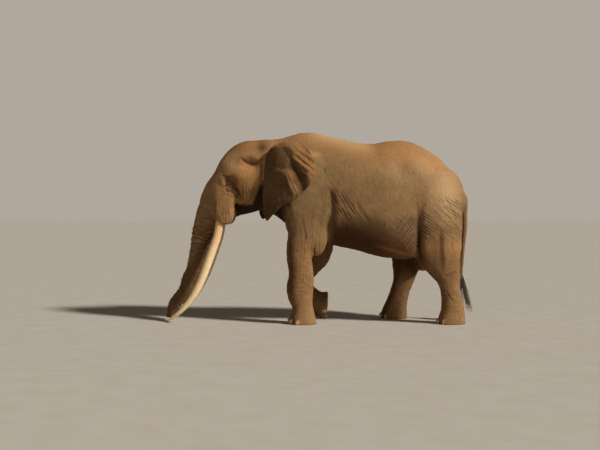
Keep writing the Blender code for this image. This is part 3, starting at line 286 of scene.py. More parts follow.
class Limb:
    """Oval sections square to a curved axis that lies in a side-view plane."""

    def __init__(self, rows, side=0, blend=0.08, caps=(0.1, 0.1), step=0.03):
        r = np.asarray(rows, float)
        y = r[:, 3] * (side if side else 1)
        r = np.column_stack([r[:, 0], y, r[:, 1], r[:, 4], r[:, 2], r[:, 2], r[:, 5], r[:, 5]])
        self.set_rows(smooth_rows(r, step), blend, caps)

    def set_rows(self, r, blend, caps):
        self.at = r[:, :3]
        self.blend, self.caps = blend, caps
        tangent = np.gradient(self.at, axis=0)
        self.tangent = tangent / np.linalg.norm(tangent, axis=1)[:, None]
        t = self.tangent
        across = np.array([0.0, 1.0, 0.0]) - t[:, 1:2] * t
        self.across = across / np.linalg.norm(across, axis=1)[:, None]
        self.depthwise = np.cross(t, self.across)
        self.size = r[:, 3:]          # across, depth +, depth -, exponents + and -
        reach = np.maximum(self.size[:, 0], self.size[:, 1:3].max(1))[:, None]
        self.low = (self.at - reach).min(0)
        self.high = (self.at + reach).max(0)

    def nearest(self, p):
        """The section nearest to each point."""
        return ((p[:, None, :] - self.at[None]) ** 2).sum(2).argmin(1)

    def distance(self, p):
        """Roughly the signed distance from each point to the limb's surface."""
        i = self.nearest(p)
        along = ((p - self.at[i]) * self.tangent[i]).sum(1)
        j = np.clip(i + np.where(along > 0, 1, -1), 0, len(self.at) - 1)
        past = ((p - self.at[j]) * self.tangent[j]).sum(1)
        span = along - past
        f = np.where(j != i, np.clip(along / np.where(np.abs(span) > 1e-9, span, 1e9), 0, 1), 0)[:, None]
        at = self.at[i] * (1 - f) + self.at[j] * f
        across = self.across[i] * (1 - f) + self.across[j] * f
        deep = self.depthwise[i] * (1 - f) + self.depthwise[j] * f
        size = self.size[i] * (1 - f) + self.size[j] * f
        q = p - at
        u, v = (q * across).sum(1), (q * deep).sum(1)
        t = self.tangent[i] * (1 - f) + self.tangent[j] * f
        w = (q * t).sum(1)
        cap = np.where(i <= 0, self.caps[0], self.caps[1])
        w = np.where((i == 0) | (i == len(self.at) - 1), w, 0.0)
        b = np.where(v > 0, size[:, 1], size[:, 2])
        n = np.where(v > 0, size[:, 3], size[:, 4])
        a = size[:, 0]
        u, v, w = np.abs(u) + 1e-9, np.abs(v) + 1e-9, np.abs(w)
        rho = ((u / a) ** n + (v / b) ** n + (w / cap) ** n) ** (1 / n)
        slope = rho ** (1 - n) * np.sqrt(
            (u ** (n - 1) / a**n) ** 2 + (v ** (n - 1) / b**n) ** 2 + (w ** (n - 1) / cap**n) ** 2
        )
        return (rho - 1) / np.maximum(slope, 0.2 / np.maximum(a, b))

    def mesh(self, bm, sides=24):
        """A closed tube through the sections."""
        rings = []
        for at, across, deep, size in zip(self.at, self.across, self.depthwise, self.size):
            ring = []
            for k in range(sides):
                c, s = math.cos(2 * math.pi * k / sides), math.sin(2 * math.pi * k / sides)
                b, n = (size[1], size[3]) if s > 0 else (size[2], size[4])
                u = size[0] * math.copysign(abs(c) ** (2 / n), c)
                v = b * math.copysign(abs(s) ** (2 / n), s)
                ring.append(bm.verts.new(Vector(at + across * u + deep * v)))
            rings.append(ring)
        for one, two in zip(rings, rings[1:]):
            for k in range(sides):
                m = (k + 1) % sides
                bm.faces.new((one[k], one[m], two[m], two[k]))
        bm.faces.new(rings[0][::-1])
        bm.faces.new(rings[-1])


class Torso(Limb):
    """The barrel of the body: its axis runs level, its back and belly differ."""

    def __init__(self, rows, blend):
        r = np.asarray(rows, float)
        r = np.column_stack(
            [r[:, 0], 0 * r[:, 0], r[:, 4], r[:, 3], r[:, 1] - r[:, 4], r[:, 4] - r[:, 2], r[:, 5], r[:, 6]]
        )
        self.set_rows(smooth_rows(r, 0.05), blend, (0.08, 0.06))
        count = len(self.at)
        self.tangent = np.tile([1.0, 0.0, 0.0], (count, 1))
        self.across = np.tile([0.0, 1.0, 0.0], (count, 1))
        self.depthwise = np.tile([0.0, 0.0, 1.0], (count, 1))

    def nearest(self, p):
        return np.abs(p[:, :1] - self.at[None, :, 0]).argmin(1)


class Mass:
    """An ellipsoid, tilted in the side view."""

    def __init__(self, x, y, z, sizes, tilt=0.0, blend=0.08):
        self.at = np.array([x, y, z])
        self.size = np.array(sizes, float)
        a = math.radians(tilt)
        self.turn = np.array([[math.cos(a), 0, -math.sin(a)], [0, 1, 0], [math.sin(a), 0, math.cos(a)]])
        self.blend = blend
        reach = self.size.max()
        self.low, self.high = self.at - reach, self.at + reach

    def distance(self, p):
        q = (p - self.at) @ self.turn.T
        k0 = np.linalg.norm(q / self.size, axis=1)
        k1 = np.linalg.norm(q / self.size**2, axis=1)
        return k0 * (k0 - 1) / np.maximum(k1, 1e-6)

    def mesh(self, bm, sides=20):
        place = Matrix(self.turn.T.tolist()).to_4x4()
        place.translation = Vector(self.at)
        bmesh.ops.create_uvsphere(
            bm, u_segments=sides, v_segments=sides // 2, radius=1.0,
            matrix=place @ Matrix.Diagonal((*self.size, 1.0)),
        )


def both_sides(table, kind):
    made = []
    for name, x, y, z, along, over, up, tilt, blend in table:
        for side in (-1, 1) if y else (1,):
            made.append(kind(x, side * y, z, (along, over, up), tilt, blend))
    return made


def body_shapes():
    """All that is blended into the flesh of the body, and all taken from it."""
    solids = [
        Torso(TORSO, 0.10),
        Limb(HEAD, 0, 0.08, (0.1, 0.12)),
        Limb(TRUNK, 0, 0.06, (0.1, 0.05)),
        Limb(LOWER_JAW, 0, 0.06, (0.1, 0.05), 0.02),
        Limb(FORELEG_STANDING, -1, 0.09, (0.12, 0.012)),
        Limb(FORELEG_LIFTED, 1, 0.09, (0.12, 0.15)),
        Limb(FOREFOOT_LIFTED, 1, 0.07, (0.14, 0.03), 0.02),
        Limb(HINDLEG_BACK, -1, 0.12, (0.14, 0.012)),
        Limb(HINDLEG_FORWARD, 1, 0.12, (0.14, 0.012)),
        Limb(TUSK_SHEATH, -1, 0.12, (0.12, 0.035), 0.02),
        Limb(TUSK_SHEATH, 1, 0.12, (0.12, 0.035), 0.02),
    ] + both_sides(MASSES, Mass)
    return solids, both_sides(HOLLOWS, Mass)


def near(shape, p, margin):
    return ((p > shape.low - margin) & (p < shape.high + margin)).all(1)


def blend(shapes, hollows, p):
    """Signed distance to the smooth blend of the shapes, less the hollows."""
    d = np.full(len(p), 1.0)
    for s in shapes:
        m = near(s, p, 0.30)
        if m.any():
            a, b = d[m], s.distance(p[m])
            h = np.maximum(s.blend - np.abs(a - b), 0.0) / s.blend
            d[m] = np.minimum(a, b) - h * h * s.blend / 4
    for s in hollows:
        m = near(s, p, 0.15)
        if m.any():
            a, b = d[m], -s.distance(p[m])
            h = np.maximum(s.blend - np.abs(a - b), 0.0) / s.blend
            d[m] = np.maximum(a, b) + h * h * s.blend / 4
    # the soles are flat on the floor, with a rounded edge
    a, b = d, FLOOR - p[:, 2]
    k = 0.02
    h = np.maximum(k - np.abs(a - b), 0.0) / k
    return np.maximum(a, b) + h * h * k / 4


def mesh_arrays(mesh):
    mesh.calc_loop_triangles()
    co = np.empty(len(mesh.vertices) * 3)
    mesh.vertices.foreach_get("co", co)
    tri = np.empty(len(mesh.loop_triangles) * 3, np.int32)
    mesh.loop_triangles.foreach_get("vertices", tri)
    edge = np.empty(len(mesh.edges) * 2, np.int32)
    mesh.edges.foreach_get("vertices", edge)
    return co.reshape(-1, 3), tri.reshape(-1, 3), edge.reshape(-1, 2)


def vertex_normals(co, tri):
    a, b, c = co[tri[:, 0]], co[tri[:, 1]], co[tri[:, 2]]
    n = np.cross(b - a, c - a)
    out = np.zeros_like(co)
    for k in range(3):
        for axis in range(3):
            out[:, axis] += np.bincount(tri[:, k], n[:, axis], len(co))
    return out / np.maximum(np.linalg.norm(out, axis=1), 1e-12)[:, None]


def neighbour_mean(co, edge):
    total, count = np.zeros_like(co), np.bincount(edge.ravel(), minlength=len(co))
    for one, two in ((0, 1), (1, 0)):
        for axis in range(3):
            total[:, axis] += np.bincount(edge[:, one], co[edge[:, two], axis], len(co))
    return total / np.maximum(count, 1)[:, None]


def settle(mesh, field, rounds, slide=0.5):
    """Moves a mesh's vertices onto the field's surface, evening them out."""
    co, tri, edge = mesh_arrays(mesh)
    for k in range(rounds):
        n = vertex_normals(co, tri)
        co -= n * np.clip(field(co), -0.03, 0.03)[:, None]
        if k < rounds - 1:
            pull = neighbour_mean(co, edge) - co
            co += slide * (pull - n * (pull * n).sum(1)[:, None])
    co[np.abs(co[:, 2] - FLOOR) < 0.006, 2] = FLOOR
    mesh.vertices.foreach_set("co", co.ravel())
    mesh.update()


# ------------------------------------------------------------ feet and toes
# Each foot: name, centre of the sole, half length, half width, direction the
# sole faces, direction the toes face, number of toes, how far round they go.
FEET = [
    ("forefoot_left", (0.045, -0.41, 0.0), 0.234, 0.234, (0, 0, -1), (-1, 0, 0), 5, 66),
    ("forefoot_right", (0.478, 0.41, 0.240), 0.230, 0.222, (1, 0, 0), (0, 0, -1), 5, 66),
    ("hindfoot_left", (2.588, -0.41, 0.0), 0.240, 0.190, (0, 0, -1), (-1, 0, 0), 4, 50),
    ("hindfoot_right", (1.676, 0.41, 0.0), 0.240, 0.190, (0, 0, -1), (-1, 0, 0), 4, 50),
]


def toe_places(foot):
    """Where each toe of a foot lies, and which way it faces."""
    name, sole, half_long, half_wide, down, fore, count, spread = foot
    sole, down, fore = (np.array(v, float) for v in (sole, down, fore))
    across = np.cross(down, fore)
    for k in range(count):
        a = math.radians(spread * (2 * k / (count - 1) - 1))
        out = fore * math.cos(a) / half_long + across * math.sin(a) / half_wide
        rim = fore * math.cos(a) * half_long + across * math.sin(a) * half_wide
        yield sole + rim - 0.045 * down, out / np.linalg.norm(out), a


def toe_masses():
    made = []
    for foot in FEET:
        for at, out, a in toe_places(foot):
            x, y, z = at - 0.030 * out
            made.append(Mass(x, y, z, (0.046, 0.046, 0.050), 0, 0.03))
    return made


# ---------------------------------------------------------------------- ears
EAR_ROOT = [  # x, distance from midplane, z, from the top of the root down
    (-0.550, 0.375, 2.900), (-0.585, 0.405, 2.720), (-0.602, 0.415, 2.500),
    (-0.612, 0.405, 2.290), (-0.620, 0.370, 2.110),
]
EAR_RIM = [   # the rim, from the top round the back to the hanging lobe
    (-0.545, 0.405, 2.935), (-0.470, 0.430, 3.012), (-0.350, 0.450, 3.078),
    (-0.230, 0.462, 3.120), (-0.100, 0.485, 3.128), (0.020, 0.525, 3.088),
    (0.120, 0.580, 3.000), (0.195, 0.635, 2.880), (0.245, 0.678, 2.755),
    (0.272, 0.705, 2.600), (0.222, 0.705, 2.480), (0.145, 0.700, 2.352),
    (0.037, 0.690, 2.234), (-0.062, 0.680, 2.166), (-0.150, 0.665, 2.090),
    (-0.308, 0.635, 2.000), (-0.455, 0.590, 1.866), (-0.562, 0.545, 1.766),
    (-0.612, 0.500, 1.850), (-0.622, 0.440, 1.985), (-0.622, 0.385, 2.080),
]


def along(points, count):
    """`count` evenly spaced points on a smooth curve through the points."""
    p = np.asarray(points, float)
    fine = smooth_rows(p, 0.004)
    run = np.concatenate([[0], np.cumsum(np.linalg.norm(np.diff(fine, axis=0), axis=1))])
    t = np.linspace(0, run[-1], count)
    return np.column_stack([np.interp(t, run, fine[:, k]) for k in range(3)])


# The relief of the ear in the side view, x and z: the crest of the low fold,
# the ridge of the upper fold behind it, and the furrow between the two.
EAR_CREST = [(-0.56, 2.540), (-0.40, 2.620), (-0.27, 2.560), (-0.185, 2.390), (-0.115, 2.200), (-0.110, 2.000)]
EAR_RIDGE = [(-0.24, 3.060), (-0.13, 2.930), (-0.09, 2.780), (0.02, 2.660), (0.13, 2.560), (0.165, 2.430)]
EAR_FURROW = [(-0.16, 2.690), (-0.05, 2.570), (0.025, 2.440), (0.045, 2.290)]


def tent(far, width):
    """1 on a line, falling straight to 0 at `width` from it, with a soft top."""
    return np.clip(1.20 - np.hypot(far / width, 0.20), 0, 1)


def line_gap(line, x, z):
    """Distance of each point from a line in the side view, positive on the
    upper, rear side of it."""
    line = along([(a, 0.0, b) for a, b in line], 60)[:, [0, 2]]
    p = np.column_stack([np.ravel(x), np.ravel(z)])
    gap = ((p[:, None] - line[None]) ** 2).sum(2)
    k = gap.argmin(1)
    way, q = np.gradient(line, axis=0)[k], p - line[k]
    side = np.where(way[:, 0] * q[:, 1] - way[:, 1] * q[:, 0] > 0, 1.0, -1.0)
    return (side * np.sqrt(gap.min(1))).reshape(np.shape(x))


def ear_surface(side, columns, rows, fan=0.014):
    """The middle surface of an ear as a grid of points, root to rim."""
    root, rim = along(EAR_ROOT, columns), along(EAR_RIM, columns)
    s = np.linspace(0, 1, rows)[None, :, None]
    t = np.linspace(0, 1, columns)[:, None, None]
    grid = root[:, None] * (1 - s) + rim[:, None] * s
    x, z = grid[..., 0], grid[..., 2]
    # fuller near the root, with two big folds and small folds that fan out
    out = 0.020 * np.sin(np.pi * s[..., 0]) * np.sin(np.pi * t[..., 0]) ** 0.5
    edge = np.clip((1 - s[..., 0]) / 0.16, 0, 1) ** 0.7
    far = line_gap(EAR_CREST, x + 0.012 * np.sin(9.0 * z), z)
    narrow = np.clip((x + 0.48) / 0.34, 0, 1) ** 1.5
    ahead = 0.30 + 0.70 * np.clip((x + 0.56) / 0.18, 0, 1)
    out = out + 0.105 * ahead * edge * tent(far, np.where(far > 0, 0.420 - 0.250 * narrow, 0.420))
    pleat = np.sin(2 * np.pi * far / 0.056 + 1.6 * np.sin(8.0 * z)) * (0.65 + 0.35 * np.sin(11.0 * z + 1.0))
    pleat = np.where((far > 0) & (far < 0.17), pleat, 0.0) * np.clip((2.66 - z) / 0.15, 0, 1)
    out = out + 0.32 * fan * pleat
    far = line_gap(EAR_RIDGE, x + 0.014 * np.sin(11.0 * z), z)
    out = out + 0.085 * edge * tent(far, np.where(far > 0, 0.260, 0.360))
    out = out - 0.050 * np.exp(-((line_gap(EAR_FURROW, x, z) / 0.060) ** 2))
    slant = 0.60 * x + 0.80 * z + 0.10 * (x + 0.1) ** 2
    stripe = np.sin(2 * np.pi * slant / 0.094) + 0.35 * np.sin(2 * np.pi * slant / 0.041 + 9.0 * x)
    spot = np.exp(-(((x - 0.09) / 0.17) ** 2) - (((z - 2.76) / 0.21) ** 2))
    out = out + fan * stripe * spot * np.clip((s[..., 0] - 0.3) / 0.3, 0, 1)
    grid[..., 1] += out * np.clip(s[..., 0] / 0.15, 0, 1)
    if side > 0:                     # the right ear is held a little further forward
        grid[..., 0:1] -= 0.11 * s * np.clip((t - 0.35) / 0.5, 0, 1)
    grid[..., 1] *= side
    return grid


def mesh_of(*shapes):
    bm = bmesh.new()
    for s in shapes:
        s.mesh(bm)
    mesh = bpy.data.meshes.new("shape")
    bmesh.ops.recalc_face_normals(bm, faces=bm.faces)
    bm.to_mesh(mesh)
    bm.free()
    return mesh

# ------------------------------------------------------------ plain numerics
def ramp(v, zero, one):
    """Smooth step: 0 at `zero`, 1 at `one`."""
    t = np.clip((v - zero) / (one - zero), 0.0, 1.0)
    return t * t * (3 - 2 * t)


def bump(d, width):
    return np.exp(-((d / width) ** 2))


def in_blocks(field, p, size=24000):
    return np.concatenate([field(p[i:i + size]) for i in range(0, len(p), size)]) if len(p) else np.zeros(0)


def scatter01(ix, iy, iz, seed):
    """A repeatable number from 0 to 1 for each cell of a lattice."""
    u = np.uint32
    h = ix.astype(u) * u(374761393) + iy.astype(u) * u(668265263) + iz.astype(u) * u(2246822519)
    h = h + u((seed * 3266489917) & 0xFFFFFFFF)
    h ^= h >> u(15)
    h *= u(2246822519)
    h ^= h >> u(13)
    h *= u(3266489917)
    h ^= h >> u(16)
    return h.astype(np.float64) / 4294967296.0


def noise(q, seed=1):
    """Smooth noise, -1 to 1, one bump per unit."""
    base = np.floor(q)
    f = q - base
    f = f * f * f * (f * (f * 6 - 15) + 10)
    b = base.astype(np.int64)
    out = np.zeros(len(q))
    for dx, dy, dz in itertools.product((0, 1), repeat=3):
        w = (f[:, 0] if dx else 1 - f[:, 0]) * (f[:, 1] if dy else 1 - f[:, 1]) * (f[:, 2] if dz else 1 - f[:, 2])
        out += w * scatter01(b[:, 0] + dx, b[:, 1] + dy, b[:, 2] + dz, seed)
    return out * 2 - 1


def rough(q, octaves=3, seed=1):
    return sum(noise(q * 2.03**k, seed + 11 * k) * 0.5**k for k in range(octaves)) / (2 - 0.5 ** (octaves - 1))


def cell_walls(q, seed):
    """How far each point is from the border between the cells of a net."""
    base = np.floor(q).astype(np.int64)
    f1 = np.full(len(q), 9.0)
    f2 = np.full(len(q), 9.0)
    for d in itertools.product((-1, 0, 1), repeat=3):
        c = base + np.array(d)
        gap = np.zeros(len(q))
        for axis in range(3):
            at = c[:, axis] + scatter01(c[:, 0], c[:, 1], c[:, 2], seed + 97 * axis)
            gap += (q[:, axis] - at) ** 2
        f2 = np.minimum(f2, np.maximum(gap, f1))
        f1 = np.minimum(f1, gap)
    return np.sqrt(f2) - np.sqrt(f1)


def edges_of(tri):
    e = np.sort(np.concatenate([tri[:, [0, 1]], tri[:, [1, 2]], tri[:, [2, 0]]]), axis=1).astype(np.int64)
    key = np.unique(e[:, 0] * (1 << 32) + e[:, 1])
    return np.column_stack([key >> 32, key & 0xFFFFFFFF])


def refine(co, tri, pick):
    """Splits the picked triangles in four, and their neighbours to match."""
    e = np.sort(np.concatenate([tri[:, [0, 1]], tri[:, [1, 2]], tri[:, [2, 0]]]), axis=1).astype(np.int64)
    key, place = np.unique(e[:, 0] * (1 << 32) + e[:, 1], return_inverse=True)
    e = place.reshape(3, len(tri)).T
    marked = np.zeros(len(key), bool)
    marked[e[pick].ravel()] = True
    while True:
        more = marked[e].sum(1) == 2
        if not more.any():
            break
        marked[e[more].ravel()] = True
    new = np.full(len(key), -1, np.int64)
    new[marked] = len(co) + np.arange(marked.sum())
    mid = (co[key[marked] >> 32] + co[key[marked] & 0xFFFFFFFF]) / 2
    count = marked[e].sum(1)
    t, q = tri[count == 3], new[e[count == 3]]
    parts = [
        tri[count == 0],
        np.column_stack([t[:, 0], q[:, 0], q[:, 2]]),
        np.column_stack([q[:, 0], t[:, 1], q[:, 1]]),
        np.column_stack([q[:, 2], q[:, 1], t[:, 2]]),
        q,
    ]
    for k in range(3):
        one = (count == 1) & marked[e[:, k]]
        t, m = tri[one], new[e[one, k]]
        a, b, c = t[:, k], t[:, (k + 1) % 3], t[:, (k + 2) % 3]
        parts += [np.column_stack([a, m, c]), np.column_stack([m, b, c])]
    return np.vstack([co, mid]), np.vstack(parts).astype(np.int64)


def settle_points(co, tri, field, rounds, slide=0.5, only=None):
    """Moves points onto the field's surface, evening them out."""
    edge = edges_of(tri)
    for k in range(rounds):
        n = vertex_normals(co, tri)
        m = slice(None) if only is None else only
        co[m] -= n[m] * np.clip(in_blocks(field, co[m]), -0.03, 0.03)[:, None]
        if slide and k < rounds - 1:
            pull = neighbour_mean(co, edge) - co
            pull = slide * (pull - n * (pull * n).sum(1)[:, None])
            co[m] += pull[m]
    flat = np.abs(co[:, 2] - FLOOR) < 0.004
    co[flat, 2] = FLOOR
    return co


def mesh_from(name, co, tri, uv=None, **values):
    """A mesh from arrays, with numbers stored on its points."""
    me = bpy.data.meshes.new(name)
    me.vertices.add(len(co))
    me.vertices.foreach_set("co", np.asarray(co, np.float32).ravel())
    me.loops.add(3 * len(tri))
    me.loops.foreach_set("vertex_index", np.asarray(tri, np.int32).ravel())
    me.polygons.add(len(tri))
    me.polygons.foreach_set("loop_start", np.arange(0, 3 * len(tri), 3, dtype=np.int32))
    me.update(calc_edges=True)
    me.shade_smooth()
    for key, value in values.items():
        me.attributes.new(key, "FLOAT", "POINT").data.foreach_set("value", np.asarray(value, np.float32))
    if uv is not None:
        me.uv_layers.new(name="OFBake").uv.foreach_set("vector", np.asarray(uv, np.float32).ravel())
    return me


def add(name, mesh, finish, slot, *nodes):
    """One piece of the model: placed, riding the body, with its finish."""
    mesh.transform(Matrix.Translation((BODY_X, 0.0, 0.0)))
    ob = bpy.data.objects.new(name, mesh)
    bpy.context.scene.collection.objects.link(ob)
    mesh.materials.clear()
    mesh.materials.append(finish)
    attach(ob, "root")
    if nodes:
        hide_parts(*nodes)
    return ob


# ------------------------------------------------------------------- the skin
class Track:
    """How far along a limb a point is, and where in its section."""

    def __init__(self, rows, side, step=0.02):
        self.limb = Limb(rows, side, 0.08, (0.1, 0.1), step)
        gap = np.linalg.norm(np.diff(self.limb.at, axis=0), axis=1)
        self.run = np.concatenate([[0.0], np.cumsum(gap)])

    def __call__(self, p):
        parts = [self.block(p[i:i + 20000]) for i in range(0, len(p), 20000)]
        return [np.concatenate(v) for v in zip(*parts)]

    def block(self, p):
        i = self.limb.nearest(p)
        q = p - self.limb.at[i]
        return (
            self.run[i] + (q * self.limb.tangent[i]).sum(1),
            (q * self.limb.across[i]).sum(1),
            (q * self.limb.depthwise[i]).sum(1),
            np.linalg.norm(q, axis=1) - self.limb.size[i, :3].max(1),
        )


# Folds drawn on the side view: name, which side (0 both), half width, depth,
# then points x, z.  Depth > 0 sinks; a shallow lip stands up beside the groove.
FOLDS = [
    ("armpit_1", 0, 0.009, 0.013, [(0.505, 2.34), (0.545, 2.22), (0.60, 2.10), (0.66, 1.98), (0.69, 1.86)]),
    ("armpit_2", 0, 0.008, 0.011, [(0.54, 2.33), (0.59, 2.20), (0.65, 2.09), (0.71, 1.96), (0.745, 1.84)]),
    ("armpit_3", 0, 0.008, 0.012, [(0.47, 2.25), (0.515, 2.12), (0.565, 2.00), (0.605, 1.88)]),
    ("armpit_4", 0, 0.007, 0.009, [(0.60, 2.32), (0.66, 2.19), (0.72, 2.07), (0.78, 1.94)]),
    ("armpit_5", 0, 0.008, 0.010, [(0.68, 2.24), (0.74, 2.12), (0.81, 2.01), (0.86, 1.91)]),
    ("armpit_6", 0, 0.007, 0.008, [(0.76, 2.20), (0.83, 2.09), (0.90, 1.98), (0.94, 1.89)]),
    ("armpit_7", 0, 0.008, 0.010, [(0.455, 2.12), (0.50, 2.00), (0.535, 1.90), (0.55, 1.80)]),
    ("shoulder_rear", 0, 0.050, 0.034, [(0.50, 2.36), (0.545, 2.14), (0.555, 1.92), (0.50, 1.68), (0.44, 1.50)]),
    ("elbow_slit", -1, 0.012, 0.020, [(0.235, 1.36), (0.238, 1.22), (0.248, 1.08), (0.262, 0.96)]),
    ("arm_crease", -1, 0.018, 0.008, [(0.03, 1.90), (0.05, 1.70), (0.085, 1.50), (0.08, 1.34)]),
    ("arm_crease_2", -1, 0.016, 0.004, [(0.20, 1.98), (0.19, 1.78), (0.17, 1.58)]),
    ("arm_crease_r", 1, 0.018, 0.012, [(0.18, 1.78), (0.26, 1.56), (0.28, 1.36)]),
    ("thigh_fold_1", 0, 0.034, 0.015, [(2.34, 1.62), (2.375, 1.44), (2.39, 1.22), (2.385, 1.00), (2.37, 0.84)]),
    ("thigh_fold_2", 0, 0.020, 0.006, [(2.54, 1.50), (2.56, 1.34), (2.57, 1.18)]),
    ("thigh_rim", 0, 0.014, 0.012, [(2.03, 1.80), (2.035, 1.60), (2.03, 1.40), (2.03, 1.20), (2.05, 1.04)]),
    ("rib_fold", 0, 0.030, 0.009, [(0.93, 2.11), (1.00, 1.99), (1.08, 1.86), (1.18, 1.72)]),
    ("knee_back", 0, 0.016, 0.010, [(2.66, 0.92), (2.58, 0.86), (2.50, 0.83), (2.42, 0.84)]),
    ("ear_root", 0, 0.026, 0.022, [(-0.665, 2.86), (-0.66, 2.66), (-0.66, 2.42), (-0.665, 2.16)]),
    ("eye_to_cheek", 0, 0.009, 0.008, [(-1.165, 2.345), (-1.115, 2.270), (-1.065, 2.210), (-1.03, 2.15)]),
    ("cheek_1", 0, 0.015, 0.0055, [(-1.000, 2.38), (-0.985, 2.24), (-0.990, 2.10), (-0.985, 2.03)]),
    ("cheek_2", 0, 0.015, 0.0050, [(-0.935, 2.40), (-0.925, 2.25), (-0.935, 2.08), (-0.930, 2.02)]),
    ("cheek_3", 0, 0.014, 0.0044, [(-0.880, 2.36), (-0.875, 2.22), (-0.885, 2.06)]),
    ("cheek_4", 0, 0.013, 0.0039, [(-0.820, 2.34), (-0.820, 2.22), (-0.835, 2.10)]),
    ("cheek_5", 0, 0.011, 0.0050, [(-1.085, 2.20), (-1.060, 2.13), (-1.055, 2.07)]),
    ("temple_1", 0, 0.022, 0.017, [(-1.04, 2.84), (-0.96, 2.785), (-0.87, 2.745), (-0.76, 2.735), (-0.66, 2.80), (-0.61, 2.87)]),
    ("temple_2", 0, 0.010, 0.005, [(-0.96, 2.70), (-0.86, 2.64), (-0.76, 2.63)]),
    ("brow_1", 0, 0.016, 0.0084, [(-1.335, 2.560), (-1.240, 2.503), (-1.160, 2.500), (-1.100, 2.450), (-1.050, 2.385)]),
    ("lid_fold", 0, 0.010, 0.0042, [(-1.255, 2.450), (-1.205, 2.455), (-1.150, 2.445), (-1.100, 2.395)]),
    ("socket_low", 0, 0.017, 0.009, [(-1.305, 2.335), (-1.250, 2.262), (-1.170, 2.230), (-1.105, 2.205)]),
    ("socket_low_2", 0, 0.013, 0.012, [(-1.135, 2.178), (-1.070, 2.158), (-1.000, 2.128)]),
    ("sheath_front", 0, 0.020, 0.010, [(-1.470, 2.10), (-1.475, 1.98), (-1.482, 1.86), (-1.490, 1.77)]),
    ("sheath_side", 0, 0.012, 0.006, [(-1.335, 2.02), (-1.340, 1.90), (-1.345, 1.80)]),
    ("sheath_rear", 0, 0.012, 0.006, [(-1.235, 2.04), (-1.235, 1.94), (-1.240, 1.84)]),
    ("mouth", 0, 0.012, 0.008, [(-1.120, 1.945), (-1.03, 1.995), (-0.94, 2.050), (-0.86, 2.095)]),
    ("socket_front", 0, 0.030, 0.016, [(-1.300, 2.510), (-1.268, 2.440), (-1.262, 2.370), (-1.290, 2.300)]),
    ("socket_rear", 0, 0.020, 0.009, [(-1.115, 2.330), (-1.065, 2.250), (-1.020, 2.170), (-0.985, 2.090)]),
    ("neck_1", 0, 0.030, 0.018, [(-0.36, 2.95), (-0.40, 2.60), (-0.44, 2.25), (-0.40, 1.98)]),
    ("neck_2", 0, 0.030, 0.016, [(-0.16, 2.75), (-0.20, 2.40), (-0.22, 2.10), (-0.16, 1.88)]),
    ("scar", -1, 0.013, 0.012, [(0.405, 2.675), (0.414, 2.61), (0.424, 2.535)]),
    ("rump_1", 0, 0.020, 0.008, [(2.42, 2.20), (2.52, 2.02), (2.60, 1.86), (2.64, 1.70)]),
    ("ankle_1", -1, 0.012, 0.008, [(2.44, 0.62), (2.50, 0.52), (2.57, 0.42), (2.62, 0.33)]),
    ("ankle_2", -1, 0.011, 0.007, [(2.52, 0.66), (2.60, 0.56), (2.67, 0.47)]),
    ("ankle_3", 1, 0.012, 0.007, [(1.66, 0.52), (1.74, 0.42), (1.82, 0.36)]),
]


def fold_relief(p, n):
    """Height and crease of the named folds at points of the skin."""
    height, crease = np.zeros(len(p)), np.zeros(len(p))
    wave = np.column_stack([noise(p * 9.0, 3), noise(p * 9.0, 4)]) * 0.014
    for name, side, width, depth, points in FOLDS:
        line = np.array([(x, 0.0, z) for x, z in points])
        line = along(line, 40)[:, [0, 2]]
        low, high = line.min(0) - 4 * width - 0.03, line.max(0) + 4 * width + 0.03
        m = (p[:, 0] > low[0]) & (p[:, 0] < high[0]) & (p[:, 2] > low[1]) & (p[:, 2] < high[1])
        facing = n[:, 1] * np.sign(p[:, 1])
        m &= (facing > 0.05) & (np.abs(p[:, 1]) > 0.06)
        if side:
            m &= p[:, 1] * side > 0
        at = np.flatnonzero(m)
        if not len(at):
            continue
        q = p[at][:, [0, 2]] + wave[at]
        gap = ((q[:, None] - line[None]) ** 2).sum(2)
        k = gap.argmin(1)
        d = np.sqrt(gap[np.arange(len(at)), k])
        t = k / (len(line) - 1.0)
        fade = ramp(t, 0.0, 0.22) * ramp(t, 1.0, 0.75) * ramp(facing[at], 0.05, 0.40)
        ends = (k == 0) | (k == len(line) - 1)
        fade = np.where(ends, 0.0, fade)
        groove = bump(d, width)
        lip = bump(d - 2.1 * width, 1.1 * width)
        height[at] += depth * fade * (0.30 * lip - groove)
        crease[at] += fade * groove * min(1.0, depth / 0.016) * (0.9 if width < 0.02 else 0.35)
    return height, crease


